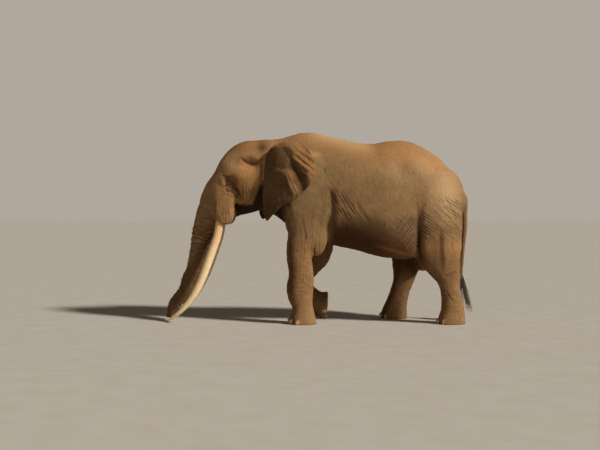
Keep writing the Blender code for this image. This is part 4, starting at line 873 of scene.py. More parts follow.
def make_skin(field_shapes, hollows):
    field = lambda p: blend(field_shapes, hollows, p)
    raw = bpy.data.objects.new("raw", mesh_of(*field_shapes))
    bpy.context.scene.collection.objects.link(raw)
    m = raw.modifiers.new("skin", "REMESH")
    m.mode, m.voxel_size, m.adaptivity = "VOXEL", SKIN_VOXEL * 1.0, 0.0
    bpy.context.view_layer.update()
    mesh = bpy.data.meshes.new_from_object(raw.evaluated_get(bpy.context.evaluated_depsgraph_get()))
    bpy.data.objects.remove(raw)
    co, tri, edge = mesh_arrays(mesh)
    bpy.data.meshes.remove(mesh)
    tri = tri.astype(np.int64)
    co, tri = largest(co, tri)
    co = settle_points(co, tri, field, 5)

    def finer(where, rounds=2):
        nonlocal co, tri
        mid = co[tri].mean(1)
        count = len(co)
        co, tri = refine(co, tri, where(mid))
        fresh = np.zeros(len(co), bool)
        fresh[count:] = True
        co = settle_points(co, tri, field, rounds, 0.4, fresh)

    eye = [np.array((EYE_AT[0], surface_y(field, *EYE_AT, side), EYE_AT[1])) for side in (-1, 1)]
    near_eye = lambda p, r: np.minimum(*(((p - e) ** 2).sum(1) for e in eye)) < r * r
    finer(lambda p: ((p[:, 0] < -0.62) & (p[:, 2] > 1.62))
          | ((p[:, 0] < -1.2) & (p[:, 2] > 1.0) & (p[:, 2] <= 1.62))
          | (p[:, 2] < 0.22) | ((p[:, 0] < -1.95) & (p[:, 2] < 0.5))
          | ((p[:, 0] > 2.78) & (np.abs(p[:, 1]) < 0.09) & (p[:, 2] < 2.2))
          | ((np.abs(p[:, 0] - 0.25) < 0.18) & (p[:, 1] < -0.2) & (np.abs(p[:, 2] - 1.2) < 0.35)))
    for reach in (0.19, 0.075, 0.048):
        finer(lambda p: near_eye(p, reach))
    finer(lambda p: (p[:, 0] < -2.10) & (p[:, 2] < 0.20))
    return co, tri, eye, field


def largest(co, tri):
    """Only the biggest loose piece."""
    edge = edges_of(tri)
    group = np.arange(len(co))
    while True:
        low = np.minimum(group[edge[:, 0]], group[edge[:, 1]])
        new = group.copy()
        np.minimum.at(new, edge[:, 0], low)
        np.minimum.at(new, edge[:, 1], low)
        new = new[new]
        new = new[new]
        if (new == group).all():
            break
        group = new
    names, count = np.unique(group, return_counts=True)
    keep = group == names[count.argmax()]
    index = np.cumsum(keep) - 1
    return co[keep], index[tri[keep[tri[:, 0]]]]


def surface_y(field, x, z, side):
    """Where the skin lies at this place in the side view, on one side."""
    y = side * np.linspace(0.15, 0.60, 451)
    p = np.column_stack([np.full(451, x), y, np.full(451, z)])
    return y[np.flatnonzero(field(p) < 0)[-1]]


def regions(p, tracks):
    """How much each point belongs to each part of the body, 0 to 1."""
    x, y, z = p.T
    w = {}
    w["trunk"] = ramp(x, -1.38, -1.52) * ramp(z, 2.35, 2.10)
    w["trunk"] = np.maximum(w["trunk"], ramp(x, -1.25, -1.35) * ramp(z, 1.70, 1.62))
    w["head"] = ramp(x, -0.42, -0.66) * (1 - w["trunk"])
    w["tail"] = ramp(x, 2.72, 2.80) * ramp(z, 2.30, 2.15) * ramp(np.abs(y), 0.16, 0.10)
    legs = np.zeros(len(p))
    for name, top in (("fore_left", 1.62), ("fore_right", 1.62), ("hind_left", 1.40), ("hind_right", 1.40)):
        side = -1 if name.endswith("left") else 1
        s, u, v, out = tracks[name][1]
        leg = ramp(z, top, top - 0.35) * ramp(out, 0.12, 0.03) * ramp(side * y, 0.05, 0.16)
        w[name] = leg * (1 - w["head"] - w["trunk"]).clip(0, 1) * (1 - w["tail"])
        legs += w[name]
    w["body"] = (1 - w["trunk"] - w["head"] - w["tail"] - legs).clip(0, 1)
    return w


def skin_relief(p, n, eyes):
    """Height of the skin's own relief above its smooth shape, as a move along the normals, how deep in a crease each
    point is, which part of the body each point belongs to, and the warp of its grain."""
    x, y, z = p.T
    out_y = np.abs(n[:, 1])
    height, crease = fold_relief(p, n)
    tracks = {}
    for name, rows, side, count in (
        ("trunk", TRUNK, 0, 0), ("fore_left", FORELEG_STANDING, -1, 0), ("fore_right", FORELEG_LIFTED[:-1] + FOREFOOT_LIFTED[1:], 1, 0),
        ("hind_left", HINDLEG_BACK, -1, 0), ("hind_right", HINDLEG_FORWARD, 1, 0), ("tail", TAIL, 0, 0),
    ):
        track = Track(rows, side)
        tracks[name] = (track, track(p))
    w = regions(p, tracks)
    warp = np.column_stack([rough(p * 2.2, 2, 21), rough(p * 2.2, 2, 22), rough(p * 2.2, 2, 23)])

    def net(weight, q, depth, width, seed, mark=0.6):
        """A net of wrinkles with the grain of the coordinates q."""
        at = np.flatnonzero(weight > 0.02)
        if not len(at):
            return
        g = bump(in_blocks(lambda v: cell_walls(v, seed), q[at], 60000), width) * weight[at]
        height[at] -= depth * g
        crease[at] += mark * g

    # rings round the trunk, deepest on its upper half
    s, u, v, _ = tracks["trunk"][1]
    q = np.column_stack([s / 0.056 + 1.3 * warp[:, 0], u / 0.30 + 0.5 * warp[:, 1], v / 0.30])
    deep = w["trunk"] * (0.60 + 1.00 * bump(z - 1.42, 0.30))
    net(deep, q, 0.0110, 0.22, 31, 0.45)
    q = np.column_stack([s / 0.026 + 1.0 * warp[:, 1], u / 0.10, v / 0.10])
    net(deep, q, 0.0032, 0.26, 32, 0.20)
    # rings round the legs, close together at the wrists and ankles
    for name, at_z in (("fore_left", 0.62), ("fore_right", 0.62), ("hind_left", 0.50), ("hind_right", 0.50)):
        s, u, v, _ = tracks[name][1]
        q = np.column_stack([s / 0.060 + 1.2 * warp[:, 0], u / 0.17 + 0.8 * warp[:, 1], v / 0.17])
        net(w[name] * (0.45 + 0.55 * bump(z - at_z, 0.20)), q, 0.0060, 0.22, 41, 0.28)
        q = np.column_stack([s / 0.032 + 1.2 * warp[:, 2], u / 0.075, v / 0.075])
        net(w[name], q, 0.0026, 0.24, 42, 0.20)
    # the barrel: big soft cells, then a slanting grain on flank, rump and thigh
    q = np.column_stack([x / 0.044, y / 0.10, z / 0.120]) + 0.9 * warp
    net(w["body"], q, 0.0030, 0.24, 51, 0.14)
    def lines(weight, slant, apart, depth, seed, mark, warped=0.55):
        """Wrinkles side by side at a slant in the side view, each one broken."""
        at = np.flatnonzero(weight > 0.02)
        if not len(at):
            return
        c, d = math.cos(math.radians(slant)), math.sin(math.radians(slant))
        run, across = x[at] * c + z[at] * d, -x[at] * d + z[at] * c
        phase = across / apart + warped * (warp[at, 0] + 0.6 * warp[at, 1]) + 0.18 * noise(p[at] * 14.0, seed)
        k = np.floor(phase)
        own = scatter01(k.astype(np.int64), np.zeros(len(k), np.int64), np.zeros(len(k), np.int64), seed)
        worn = noise(np.column_stack([run / 0.16 + 9.0 * own, 1.7 * k, 0 * k + seed]), seed + 1)
        g = bump(phase - k - 0.5, 0.22) * (0.30 + 0.70 * ramp(worn, -0.40, 0.10)) * weight[at]
        height[at] -= depth * (g - 0.4 * weight[at])
        crease[at] += mark * g

    flesh = w["body"] + w["hind_left"] + w["hind_right"]
    thigh = flesh * ramp(x, 1.94, 2.10) * ramp(z, 2.28, 2.04) * ramp(z, 1.30, 1.60) * ramp(x, 2.90, 2.76)
    lines(thigh, -37, 0.041, 0.0135, 52, 1.0, 0.60)
    flank = w["body"] * ramp(x, 1.48, 1.72) * ramp(x, 2.05, 1.97) * ramp(z, 1.92, 1.74) * ramp(z, 1.18, 1.26)
    lines(flank, 48, 0.044, 0.0110, 54, 0.90, 0.55)
    lines(flank, -40, 0.046, 0.0085, 55, 0.70, 0.50)
    middle = 0.56 + 0.69 * (2.27 - z)
    fold_in = w["body"] + w["fore_left"] + w["fore_right"]
    lines(fold_in * (1.5 * bump(x - middle, 0.17) * bump(z - 2.06, 0.27)).clip(0, 1), -56, 0.046, 0.0150, 56, 1.3, 0.60)
    lines(w["body"] * ramp(x, 0.4, 0.7) * (1 - thigh - flank).clip(0, 1), -8, 0.046, 0.0016, 58, 0.08, 0.9)
    arm = w["fore_left"] + w["fore_right"]
    lines(arm * ramp(z, 0.45, 0.75) * ramp(z, 2.0, 1.7), 86, 0.062, 0.0045, 60, 0.34, 0.8)
    lines(w["head"] * ramp(z, 2.32, 2.16) * ramp(x, -1.06, -1.12), 90, 0.046, 0.0036, 62, 0.24, 0.9)
    slant = math.radians(35)
    a, b = x * math.cos(slant) + z * math.sin(slant), -x * math.sin(slant) + z * math.cos(slant)
    q = np.column_stack([a / 0.13, b / 0.048, y / 0.15]) + 0.9 * warp
    net(0.4 * thigh + 0.3 * flank, q, 0.0036, 0.22, 53, 0.20)
    # head and neck: fine net, drawn out up and down on cheek and neck
    q = np.column_stack([x / 0.050, y / 0.07, z / 0.085]) + 0.7 * warp
    net(w["head"], q, 0.0028, 0.22, 61, 0.20)
    q = np.column_stack([x / 0.026, y / 0.035, z / 0.034]) + 0.7 * warp
    net(w["head"], q, 0.0016, 0.24, 62, 0.12)
    neck = w["body"] * ramp(x, 0.10, -0.25)
    q = np.column_stack([x / 0.055, y / 0.12, z / 0.22]) + 0.8 * warp
    net(neck, q, 0.0060, 0.24, 63, 0.25)
    # across the forehead and the bridge of the trunk
    brow = w["head"] * ramp(n[:, 0], -0.35, -0.75) * ramp(z, 2.85, 2.55)
    q = np.column_stack([x / 0.11, y / 0.17, z / 0.045]) + 0.7 * warp
    net(brow, q, 0.0030, 0.22, 64, 0.2)
    # tail rings
    s, u, v, _ = tracks["tail"][1]
    q = np.column_stack([s / 0.035, u / 0.06, v / 0.06])
    net(w["tail"], q, 0.0030, 0.24, 71, 0.5)

    # soft unevenness everywhere
    height += 0.0060 * rough(p * 3.1, 3, 81) * (1 - 0.6 * w["head"])
    height += 0.0012 * rough(p * 22.0, 2, 82)

    # round the tusks the sheath turns in, with painted shade in the gap
    for side in (-1, 1):
        tusk = Track(TUSK, side)
        m = np.flatnonzero((z < 1.80) & (z > 1.55) & (x < -1.1) & (y * side > 0.05))
        if len(m):
            r = tusk(p[m])[3]
            g = bump(np.maximum(r, 0), 0.020) * ramp(n[m, 2], -0.15, -0.6)
            height[m] -= 0.020 * g
            crease[m] += 0.9 * g
            ring = bump(r - 0.045, 0.016) * ramp(n[m, 2], -0.05, -0.5)
            height[m] += 0.006 * ring

    # mute the relief where the foot stands and at the rim of the sole
    height *= ramp(z, 0.004, 0.05)

    move = n * height[:, None]
    for side, eye in zip((-1, 1), eyes):
        eye_relief(p, n, eye, side, move, crease)
    return move, crease, w, warp


def eye_frame(eye, side):
    """Forward, up and outward directions at an eye."""
    out = np.array([-0.30, side * 0.95, 0.02])
    out /= np.linalg.norm(out)
    ahead = np.array([-0.95, 0.0, -0.32])
    ahead -= out * (ahead @ out)
    ahead /= np.linalg.norm(ahead)
    up = np.cross(out, ahead) * (1 if side > 0 else -1)
    if up[2] < 0:
        up = -up
    return ahead, up, out


def eye_centre(eye, side):
    ahead, up, out = eye_frame(eye, side)
    return np.array([eye[0], eye[1] - side * 0.010, eye[2]])


EYE_HALF_LONG, EYE_UP, EYE_DOWN = 0.0194, 0.0108, 0.0088   # the opening of the lids


def eye_relief(p, n, eye, side, move, crease):
    """Lids that close round the eyeball, and the folds round them."""
    ahead, up, out = eye_frame(eye, side)
    centre = eye_centre(eye, side)
    m = np.flatnonzero((((p - centre) ** 2).sum(1) < 0.17**2) & (p[:, 1] * side > 0))
    if not len(m):
        return
    q = p[m] - centre
    a, b, h = q @ ahead, q @ up, q @ out
    r = np.hypot(a, b)
    # folds that follow the lids, wider apart further out
    ring = np.hypot((a + 0.004) / 1.35, (b + 0.002) * np.where(b > 0, 1.0, 0.85))
    turn = np.arctan2(b, a)
    wob = 0.0034 * noise(p[m] * 24.0, 91)
    for k, (at, depth, wide) in enumerate(((0.0335, 0.0040, 0.0034), (0.046, 0.0030, 0.0040), (0.060, 0.0028, 0.0050),
                                           (0.078, 0.0022, 0.0058), (0.100, 0.0016, 0.0070))):
        part = 0.35 + 0.65 * ramp(noise(np.column_stack([turn * 1.1, 0 * a + 3.7 * k, ring * 9.0]), 92), -0.35, 0.35)
        g = bump(ring + wob * (1 + 0.5 * k) - at, wide) * (part if k else 1.0)
        g = g * (0.55 + 0.45 * np.where(b < 0, 1.0, ramp(np.abs(a), 0.09, 0.02)))
        move[m] -= out * (depth * g)[:, None]
        crease[m] += 0.40 * g
    # the bag under the eye and the ridge of the brow over it
    move[m] += out * (0.008 * bump(np.hypot(a + 0.01, b + 0.040), 0.022) + 0.010 * bump(np.hypot((a - 0.005) / 2.2, b - 0.046), 0.016))[:, None]
    # lids: a dome a little outside the ball, open in an almond
    near = r < 0.052
    k = m[near]
    a, b, h, r = a[near], b[near], h[near], r[near]
    lid = EYE_RADIUS + 0.0042
    dome = np.sqrt(np.maximum(lid * lid - r * r, 0.0)) - 0.002
    here = h + ((move[k]) @ out)
    soft = 0.008
    mix = np.maximum(soft - np.abs(dome - here), 0.0) / soft
    top = np.maximum(dome, here) + mix * mix * soft / 4
    span = np.clip(1 - (a / EYE_HALF_LONG) ** 2, 0.0, 1.0)
    droop = np.where(b > 0, EYE_UP * span, EYE_DOWN * span)
    inside = np.clip((droop - np.abs(b)) / 0.0016 + 0.5, 0.0, 1.0) * (np.abs(a) < EYE_HALF_LONG)
    rim = bump(np.abs(b) - droop - 0.0028, 0.0022) * (np.abs(a) < EYE_HALF_LONG + 0.003)
    top = top + 0.0016 * rim * (r < 0.030)
    goal = top * (1 - inside) + (-0.006) * inside
    wide = ramp(r, 0.052, 0.030)
    # pull the points straight onto the lids' height, keeping their place across
    move[k] += out * ((goal - here) * wide)[:, None]
    crease[k] = np.maximum(crease[k] * (1 - 0.5 * wide), 0.9 * bump(r - 0.027, 0.004) + 1.2 * inside)


# ------------------------------------------------------------------- the ears
def ear_mesh(side, columns, rows):
    """An ear as a thick sheet with its folds: points, triangles, uv, crease."""
    grid = ear_surface(side, columns, rows)
    flat = grid.reshape(-1, 3)
    i, j = np.meshgrid(np.arange(columns - 1), np.arange(rows - 1), indexing="ij")
    a, b, c, d = (i * rows + j, (i + 1) * rows + j, (i + 1) * rows + j + 1, i * rows + j + 1)
    quad = np.stack([a, b, c, d], -1).reshape(-1, 4)
    if side > 0:
        quad = quad[:, ::-1]
    sheet = np.vstack([quad[:, [0, 1, 2]], quad[:, [0, 2, 3]]])
    normal = vertex_normals(flat, sheet)
    if (normal[:, 1] * side).mean() < 0:
        sheet, normal = sheet[:, ::-1], -normal
    s = np.tile(np.linspace(0, 1, rows), columns)
    t = np.repeat(np.linspace(0, 1, columns), rows)
    thick = EAR_THICK_RIM + (EAR_THICK_ROOT - EAR_THICK_RIM) * (1 - s) ** 1.6
    # round the rim off: the two faces meet there
    edge_run = np.minimum(np.minimum((1 - s) * 0.75, t * 1.3 + 0.02 * 0), (1 - t) * 1.0)
    close = np.sqrt(np.clip(1 - (1 - np.clip(edge_run / 0.012, 0, 1)) ** 2, 0, 1))
    p = flat
    q = np.column_stack([p[:, 0] / 0.075, p[:, 1] / 0.075, p[:, 2] / 0.075]) + 0.6 * np.column_stack([rough(p * 5, 2, 101), rough(p * 5, 2, 102), rough(p * 5, 2, 103)])
    net = bump(cell_walls(q, 104), 0.20)
    q2 = np.column_stack([p[:, 0] / 0.034, p[:, 1] / 0.05, p[:, 2] / 0.034])
    fine = bump(cell_walls(q2, 105), 0.24)
    # veins that run out from the root
    branch = np.abs(((t * 7.0 + 0.35 * rough(p * 3.0, 2, 106) + 0.5) % 1.0) - 0.5)
    vein = bump(branch, 0.09) * ramp(s, 0.05, 0.2) * ramp(s, 0.9, 0.5)
    relief = -0.0030 * net - 0.0012 * fine + 0.0035 * vein + 0.004 * rough(p * 6.0, 2, 107)
    outer = flat + normal * (thick * close / 2 + relief * close)[:, None]
    inner = flat - normal * (thick * close / 2 - relief * 0.6 * close)[:, None]
    count = len(flat)
    co = np.vstack([outer, inner])
    tri = np.vstack([sheet, sheet[:, ::-1] + count])
    rim = ([k * rows for k in range(columns)] + [(columns - 1) * rows + k for k in range(1, rows)]
           + [k * rows + rows - 1 for k in range(columns - 2, -1, -1)] + [k for k in range(rows - 2, 0, -1)])
    rim = np.array(rim)
    nxt = np.roll(rim, -1)
    wall = np.vstack([np.column_stack([rim, nxt, nxt + count]), np.column_stack([rim, nxt + count, rim + count])])
    # the wall's winding follows the sheet's
    first = sheet[(sheet == rim[0]).any(1) & (sheet == rim[1]).any(1)][0]
    at = list(first).index(rim[0])
    if first[(at + 1) % 3] == rim[1]:
        wall = wall[:, ::-1]
    tri = np.vstack([tri, wall])
    crease = np.concatenate([0.35 * net + 0.2 * fine, 0.35 * net])
    place = np.column_stack([s, t])
    place = np.vstack([place * [0.96, 1.0] + [0.0, 0.0], place * [0.96, 1.0] + [1.0, 0.0]])
    return co, tri, place, crease


# --------------------------------------------------------------- flat patterns
def box_unwrap(co, tri, normal, parts):
    """A pattern of flat charts: each part of the body seen along the nearer of
    three axes, the charts laid side by side.  Returns uv per corner, 0 to 1."""
    n = normal[tri].mean(1)
    axis = np.abs(n).argmax(1)
    sign = (n[np.arange(len(n)), axis] > 0).astype(int)
    half = (co[tri][:, :, 1].mean(1) > 0).astype(int)
    chart = ((parts * 3 + axis) * 2 + sign) * 2 + half
    uv = np.zeros((len(tri), 3, 2))
    shelves = []
    for c in np.unique(chart):
        m = np.flatnonzero(chart == c)
        a, b = [(1, 2), (0, 2), (0, 1)][axis[m[0]]]
        flat = co[tri[m]][:, :, [a, b]]
        low = flat.reshape(-1, 2).min(0)
        flat = flat - low
        size = flat.reshape(-1, 2).max(0)
        if size[1] > size[0]:
            flat, size = flat[:, :, ::-1], size[::-1]
        uv[m] = flat
        shelves.append((size[1], size[0], c, m))
    shelves.sort(key=lambda v: (-v[0], v[2]))
    width, gap = 7.2, 0.02
    x = y = tall = 0.0
    for high, wide, c, m in shelves:
        if x + wide > width:
            x, y, tall = 0.0, y + tall + gap, 0.0
        uv[m] += [x, y]
        x += wide + gap
        tall = max(tall, high)
    total = max(width, y + tall)
    return uv / total


# ------------------------------------------------------------- plain solid parts
def tube(limb, sides, tip=0, wobble=0.0, seed=0):
    """A closed tube along a limb with a rounded end: points, triangles and how
    far along each point is."""
    at, across, deep, size = limb.at, limb.across, limb.depthwise, limb.size
    a = 2 * np.pi * np.arange(sides) / sides
    ring = at[:, None] + across[:, None] * (np.cos(a)[None, :, None] * size[:, None, :1]) \
        + deep[:, None] * (np.sin(a)[None, :, None] * size[:, None, 1:2])
    if tip:
        end, r, t = at[-1], size[-1, 0], limb.tangent[-1]
        more = []
        for k in range(1, tip + 1):
            f = math.sin(0.5 * math.pi * k / (tip + 0.4))
            more.append((ring[-1] - end) * math.sqrt(1 - f * f) + end + t * r * f)
        ring = np.concatenate([ring, np.array(more)])
    count = len(ring)
    run = np.repeat(np.arange(count) / (count - 1.0), sides)
    co = ring.reshape(-1, 3)
    i, j = np.meshgrid(np.arange(count - 1), np.arange(sides), indexing="ij")
    j2 = (j + 1) % sides
    q = np.stack([i * sides + j, i * sides + j2, (i + 1) * sides + j2, (i + 1) * sides + j], -1).reshape(-1, 4)
    tri = np.vstack([q[:, [0, 1, 2]], q[:, [0, 2, 3]]])
    start, end = len(co), len(co) + 1
    co = np.vstack([co, ring[0].mean(0), ring[-1].mean(0)])
    run = np.concatenate([run, [0.0, 1.0]])
    j = np.arange(sides)
    j2 = (j + 1) % sides
    last = (count - 1) * sides
    tri = np.vstack([tri, np.column_stack([np.full(sides, start), j2, j]), np.column_stack([np.full(sides, end), last + j, last + j2])])
    mid = co.mean(0)
    return co, outward(co, tri), run


def outward(co, tri):
    """Triangles turned so that the closed shape's volume is positive."""
    a, b, c = co[tri[:, 0]], co[tri[:, 1]], co[tri[:, 2]]
    return tri if (np.cross(a, b) * c).sum() > 0 else tri[:, ::-1]


def nail_mesh(foot):
    """The nails of one foot, joined: rounded plates that follow the toes."""
    name = foot[0]
    front = name.startswith("fore")
    down = np.array(foot[4], float)
    parts, tris, runs, start = [], [], [], 0
    nu, nv = 15, 13
    places = list(toe_places(foot))
    for k, (at, out, a) in enumerate(places):
        up = -down
        across = np.cross(up, out)
        across /= np.linalg.norm(across)
        mid = 1 - abs(2 * k / (len(places) - 1) - 1)
        wide = (0.050 if front else 0.044) * (0.80 + 0.20 * mid)
        tall = (0.050 if front else 0.044) * (0.86 + 0.14 * mid)
        u, v = np.meshgrid(np.linspace(-1, 1, nu), np.linspace(-1, 1, nv), indexing="ij")
        # square grid pulled to a rounded shape, flatter at the lower edge
        ru = u * np.sqrt(1 - v * v / 2)
        rv = v * np.sqrt(1 - u * u / 2)
        ru = ru * (1 - 0.16 * np.clip(rv, 0, 1))
        bulge = 0.016 * (1 - 0.55 * ru**2) * (1 - 0.30 * rv**2)
        lip = 0.004 * np.clip(-rv, 0, 1)
        base = at + down * 0.002 - out * 0.002
        surf = base + across * (ru * wide)[..., None] + up * (rv * tall)[..., None] \
            + out * (bulge + lip - 0.020 * ru**2 + 0.010)[..., None]
        back = surf - out * 0.022
        pts = np.vstack([surf.reshape(-1, 3), back.reshape(-1, 3)])
        count = nu * nv
        i, j = np.meshgrid(np.arange(nu - 1), np.arange(nv - 1), indexing="ij")
        q = np.stack([i * nv + j, (i + 1) * nv + j, (i + 1) * nv + j + 1, i * nv + j + 1], -1).reshape(-1, 4)
        face = np.vstack([q[:, [0, 1, 2]], q[:, [0, 2, 3]]])
        rim = np.array([m * nv for m in range(nu)] + [(nu - 1) * nv + m for m in range(1, nv)]
                       + [m * nv + nv - 1 for m in range(nu - 2, -1, -1)] + [m for m in range(nv - 2, 0, -1)])
        nxt = np.roll(rim, -1)
        wall = np.vstack([np.column_stack([rim, rim + count, nxt + count]), np.column_stack([rim, nxt + count, nxt])])
        tri = np.vstack([face, face[:, ::-1] + count, wall])
        tri = outward(pts - pts.mean(0), tri)
        parts.append(pts)
        tris.append(tri + start)
        runs.append(np.concatenate([rv.ravel(), rv.ravel()]))
        start += len(pts)
    co = np.vstack(parts)
    co[:, 2] = np.maximum(co[:, 2], FLOOR + 0.0005)
    return co, np.vstack(tris), np.concatenate(runs)


# ----------------------------------------------------------------------- hairs
def hairs(roots, ways, lengths, radii, bend, uv, sides=3, joints=5):
    """Solid tapered hairs, each bending from its own way towards `bend`."""
    count = len(roots)
    t = np.linspace(0, 1, joints + 1)
    way = ways / np.linalg.norm(ways, axis=1)[:, None]
    at = roots.copy()
    rings = []
    step = lengths / joints
    for k in range(joints + 1):
        side = np.cross(way, [0.31, 0.86, 0.40])
        side /= np.linalg.norm(side, axis=1)[:, None]
        other = np.cross(way, side)
        r = radii * (1 - 0.82 * t[k] ** 1.5)
        for m in range(sides):
            a = 2 * math.pi * m / sides
            rings.append(at + (side * math.cos(a) + other * math.sin(a)) * r[:, None])
        at = at + way * step[:, None]
        way = way + bend * (1.0 / joints)
        way /= np.linalg.norm(way, axis=1)[:, None]
    co = np.stack(rings, 1)                      # count, rings * sides, 3
    per = (joints + 1) * sides
    tri = []
    for k in range(joints):
        for m in range(sides):
            a, b = k * sides + m, k * sides + (m + 1) % sides
            tri += [(a, b, b + sides), (a, b + sides, a + sides)]
    tri += [tuple(range(sides))[::-1][:3], tuple(joints * sides + m for m in range(sides))[:3]]
    tri = np.array(tri)
    every = (tri[None] + (np.arange(count) * per)[:, None, None]).reshape(-1, 3)
    turn = outward(co[0] - co[0].mean(0), tri)
    every = (turn[None] + (np.arange(count) * per)[:, None, None]).reshape(-1, 3)
    run = np.tile(np.repeat(t, sides), count)
    corner = co.reshape(-1, 3)[every]
    local = np.tile(np.column_stack([np.tile(np.arange(sides), joints + 1) / sides, np.repeat(t, sides)]), (count, 1))
    patch = np.repeat(uv, per, axis=0) + (local - 0.5) * 0.003
    return co.reshape(-1, 3), every, run, np.clip(patch, 0.0, 1.0)[every]


# ------------------------------------------------------------------- materials
class Finish:
    """A material and short ways to add nodes to it."""

    def __init__(self, name, roughness, specular=0.3):
        self.material = bpy.data.materials.new(name)
        self.material.use_nodes = True
        self.tree = self.material.node_tree
        self.shader = self.tree.nodes["Principled BSDF"]
        self.shader.inputs["Roughness"].default_value = roughness
        self.shader.inputs["Specular IOR Level"].default_value = specular

    def node(self, kind, out=0, **settings):
        n = self.tree.nodes.new("ShaderNode" + kind)
        inputs = {}
        for key, value in settings.items():
            if hasattr(n, key) and key not in ("inputs",):
                setattr(n, key, value)
            else:
                inputs[key] = value
        for key, value in inputs.items():
            socket = n.inputs[int(key[1:])] if key[0] == "i" and key[1:].isdigit() else n.inputs[key.replace("_", " ")]
            if isinstance(value, bpy.types.NodeSocket):
                self.tree.links.new(value, socket)
            else:
                socket.default_value = value
        return n.outputs[out]

    def place(self):
        return self.node("TexCoord", "Object")

    def stored(self, name):
        return self.node("Attribute", "Fac", attribute_name=name)

    def noise(self, at, scale, detail=3.0, roughness=0.55, distortion=0.0):
        return self.node("TexNoise", "Fac", Vector=at, Scale=scale, Detail=detail, Roughness=roughness, Distortion=distortion)

    def walls(self, at, scale):
        return self.node("TexVoronoi", "Distance", feature="DISTANCE_TO_EDGE", Vector=at, Scale=scale)

    def span(self, value, low, high, to_low=0.0, to_high=1.0):
        return self.node("MapRange", 0, Value=value, From_Min=low, From_Max=high, To_Min=to_low, To_Max=to_high)

    def math(self, operation, a, b=0.0, clamp=False):
        return self.node("Math", 0, operation=operation, use_clamp=clamp, i0=a, i1=b)

    def mix(self, amount, a, b, how="MIX"):
        return self.node("Mix", 2, data_type="RGBA", blend_type=how, clamp_factor=True, i0=amount, i6=a, i7=b)

    def scaled(self, at, scale):
        return self.node("Mapping", 0, Vector=at, Scale=scale)

    def bump(self, height, strength, distance, under=None):
        extra = {"Normal": under} if under is not None else {}
        return self.node("Bump", 0, Height=height, Strength=strength, Distance=distance, **extra)

    def link(self, socket, name):
        self.tree.links.new(socket, self.shader.inputs[name])


def rgb(r, g, b):
    return (r, g, b, 1.0)


HIDE_DARK = rgb(0.165, 0.100, 0.043)
HIDE_LIGHT = rgb(0.320, 0.200, 0.088)
DUST = rgb(0.470, 0.230, 0.083)
# pale dust, which also serves as painted light
PALE_DUST_AND_LIGHT = rgb(0.640, 0.415, 0.212)
CREASE = rgb(0.075, 0.036, 0.014)


def hide_finish():
    f = Finish("hide", 0.86, 0.22)
    at = f.place()
    big = f.noise(at, 1.6, 4.0)
    middle = f.noise(at, 7.0, 5.0, 0.62)
    small = f.noise(at, 42.0, 4.0, 0.6)
    warp = f.node("TexNoise", "Color", Vector=at, Scale=9.0, Detail=2.0)
    bent = f.node("VectorMath", 0, operation="MULTIPLY_ADD", i0=warp, i1=(0.05, 0.05, 0.05), i2=at)
    plates = f.walls(bent, 46.0)
    scales = f.walls(bent, 118.0)

    tone = f.span(f.math("ADD", f.math("MULTIPLY", middle, 0.6), f.math("MULTIPLY", small, 0.4)), 0.30, 0.70, 0.18, 0.82)
    colour = f.mix(tone, HIDE_DARK, HIDE_LIGHT)
    # the dust, with less of it where shadow is painted
    dust = f.math("ADD", f.stored("dust"), f.span(big, 0.3, 0.7, -0.07, 0.07))
    dust = f.math("ADD", dust, f.span(middle, 0.3, 0.7, -0.08, 0.08), True)
    colour = f.mix(dust, colour, DUST)
    colour = f.mix(f.stored("pale"), colour, PALE_DUST_AND_LIGHT)
    # the creases darker: bare dark skin where the dust does not lie, and painted shade in them
    crease = f.math("MULTIPLY", f.stored("crease"), 0.72, True)
    colour = f.mix(crease, colour, CREASE)
    # painted shade in the fine cracks between the plates and scales
    lines = f.span(plates, 0.0, 0.075, 0.80, 1.0)
    lines = f.math("MULTIPLY", lines, f.span(scales, 0.0, 0.10, 0.88, 1.0))
    grey = f.node("CombineColor", 0, Red=lines, Green=lines, Blue=lines)
    colour = f.mix(1.0, colour, grey, "MULTIPLY")
    # painted shade: the hide darkened and warmed where the painted shade is high
    shade = f.stored("shade")
    painted_dark = f.node("CombineColor", 0, Red=f.span(shade, 0.0, 1.0, 1.0, 0.20), Green=f.span(shade, 0.0, 1.0, 1.0, 0.13), Blue=f.span(shade, 0.0, 1.0, 1.0, 0.06))
    colour = f.mix(1.0, colour, painted_dark, "MULTIPLY")
    f.link(colour, "Base Color")
    low = f.bump(f.span(plates, 0.0, 0.16), 0.65, 0.0032)
    low = f.bump(f.span(scales, 0.0, 0.22), 0.55, 0.0016, low)
    low = f.bump(f.noise(at, 210.0, 2.0), 0.35, 0.0008, low)
    f.link(low, "Normal")
    return f.material


def ivory_finish():
    f = Finish("ivory", 0.36, 0.45)
    at = f.place()
    run = f.stored("run")
    streak = f.noise(f.scaled(at, (22.0, 60.0, 2.6)), 1.0, 5.0, 0.6)
    broad = f.noise(at, 5.0, 3.0)
    colour = f.mix(f.span(streak, 0.35, 0.68), rgb(0.86, 0.665, 0.385), rgb(0.79, 0.570, 0.300))
    colour = f.mix(f.span(broad, 0.45, 0.75, 0.0, 0.55), colour, rgb(0.88, 0.735, 0.49))
    stain = f.math("MULTIPLY", f.span(run, 0.38, 0.12), f.span(streak, 0.3, 0.6, 0.55, 1.0))
    colour = f.mix(f.math("MULTIPLY", stain, 0.85, True), colour, rgb(0.60, 0.33, 0.125))
    tip = f.math("MULTIPLY", f.span(run, 0.78, 1.0), f.span(streak, 0.35, 0.62, 0.1, 0.8))
    colour = f.mix(tip, colour, rgb(0.58, 0.38, 0.18))
    f.link(colour, "Base Color")
    low = f.bump(streak, 0.35, 0.0016)
    low = f.bump(f.noise(at, 120.0, 2.0), 0.2, 0.0004, low)
    f.link(low, "Normal")
    return f.material


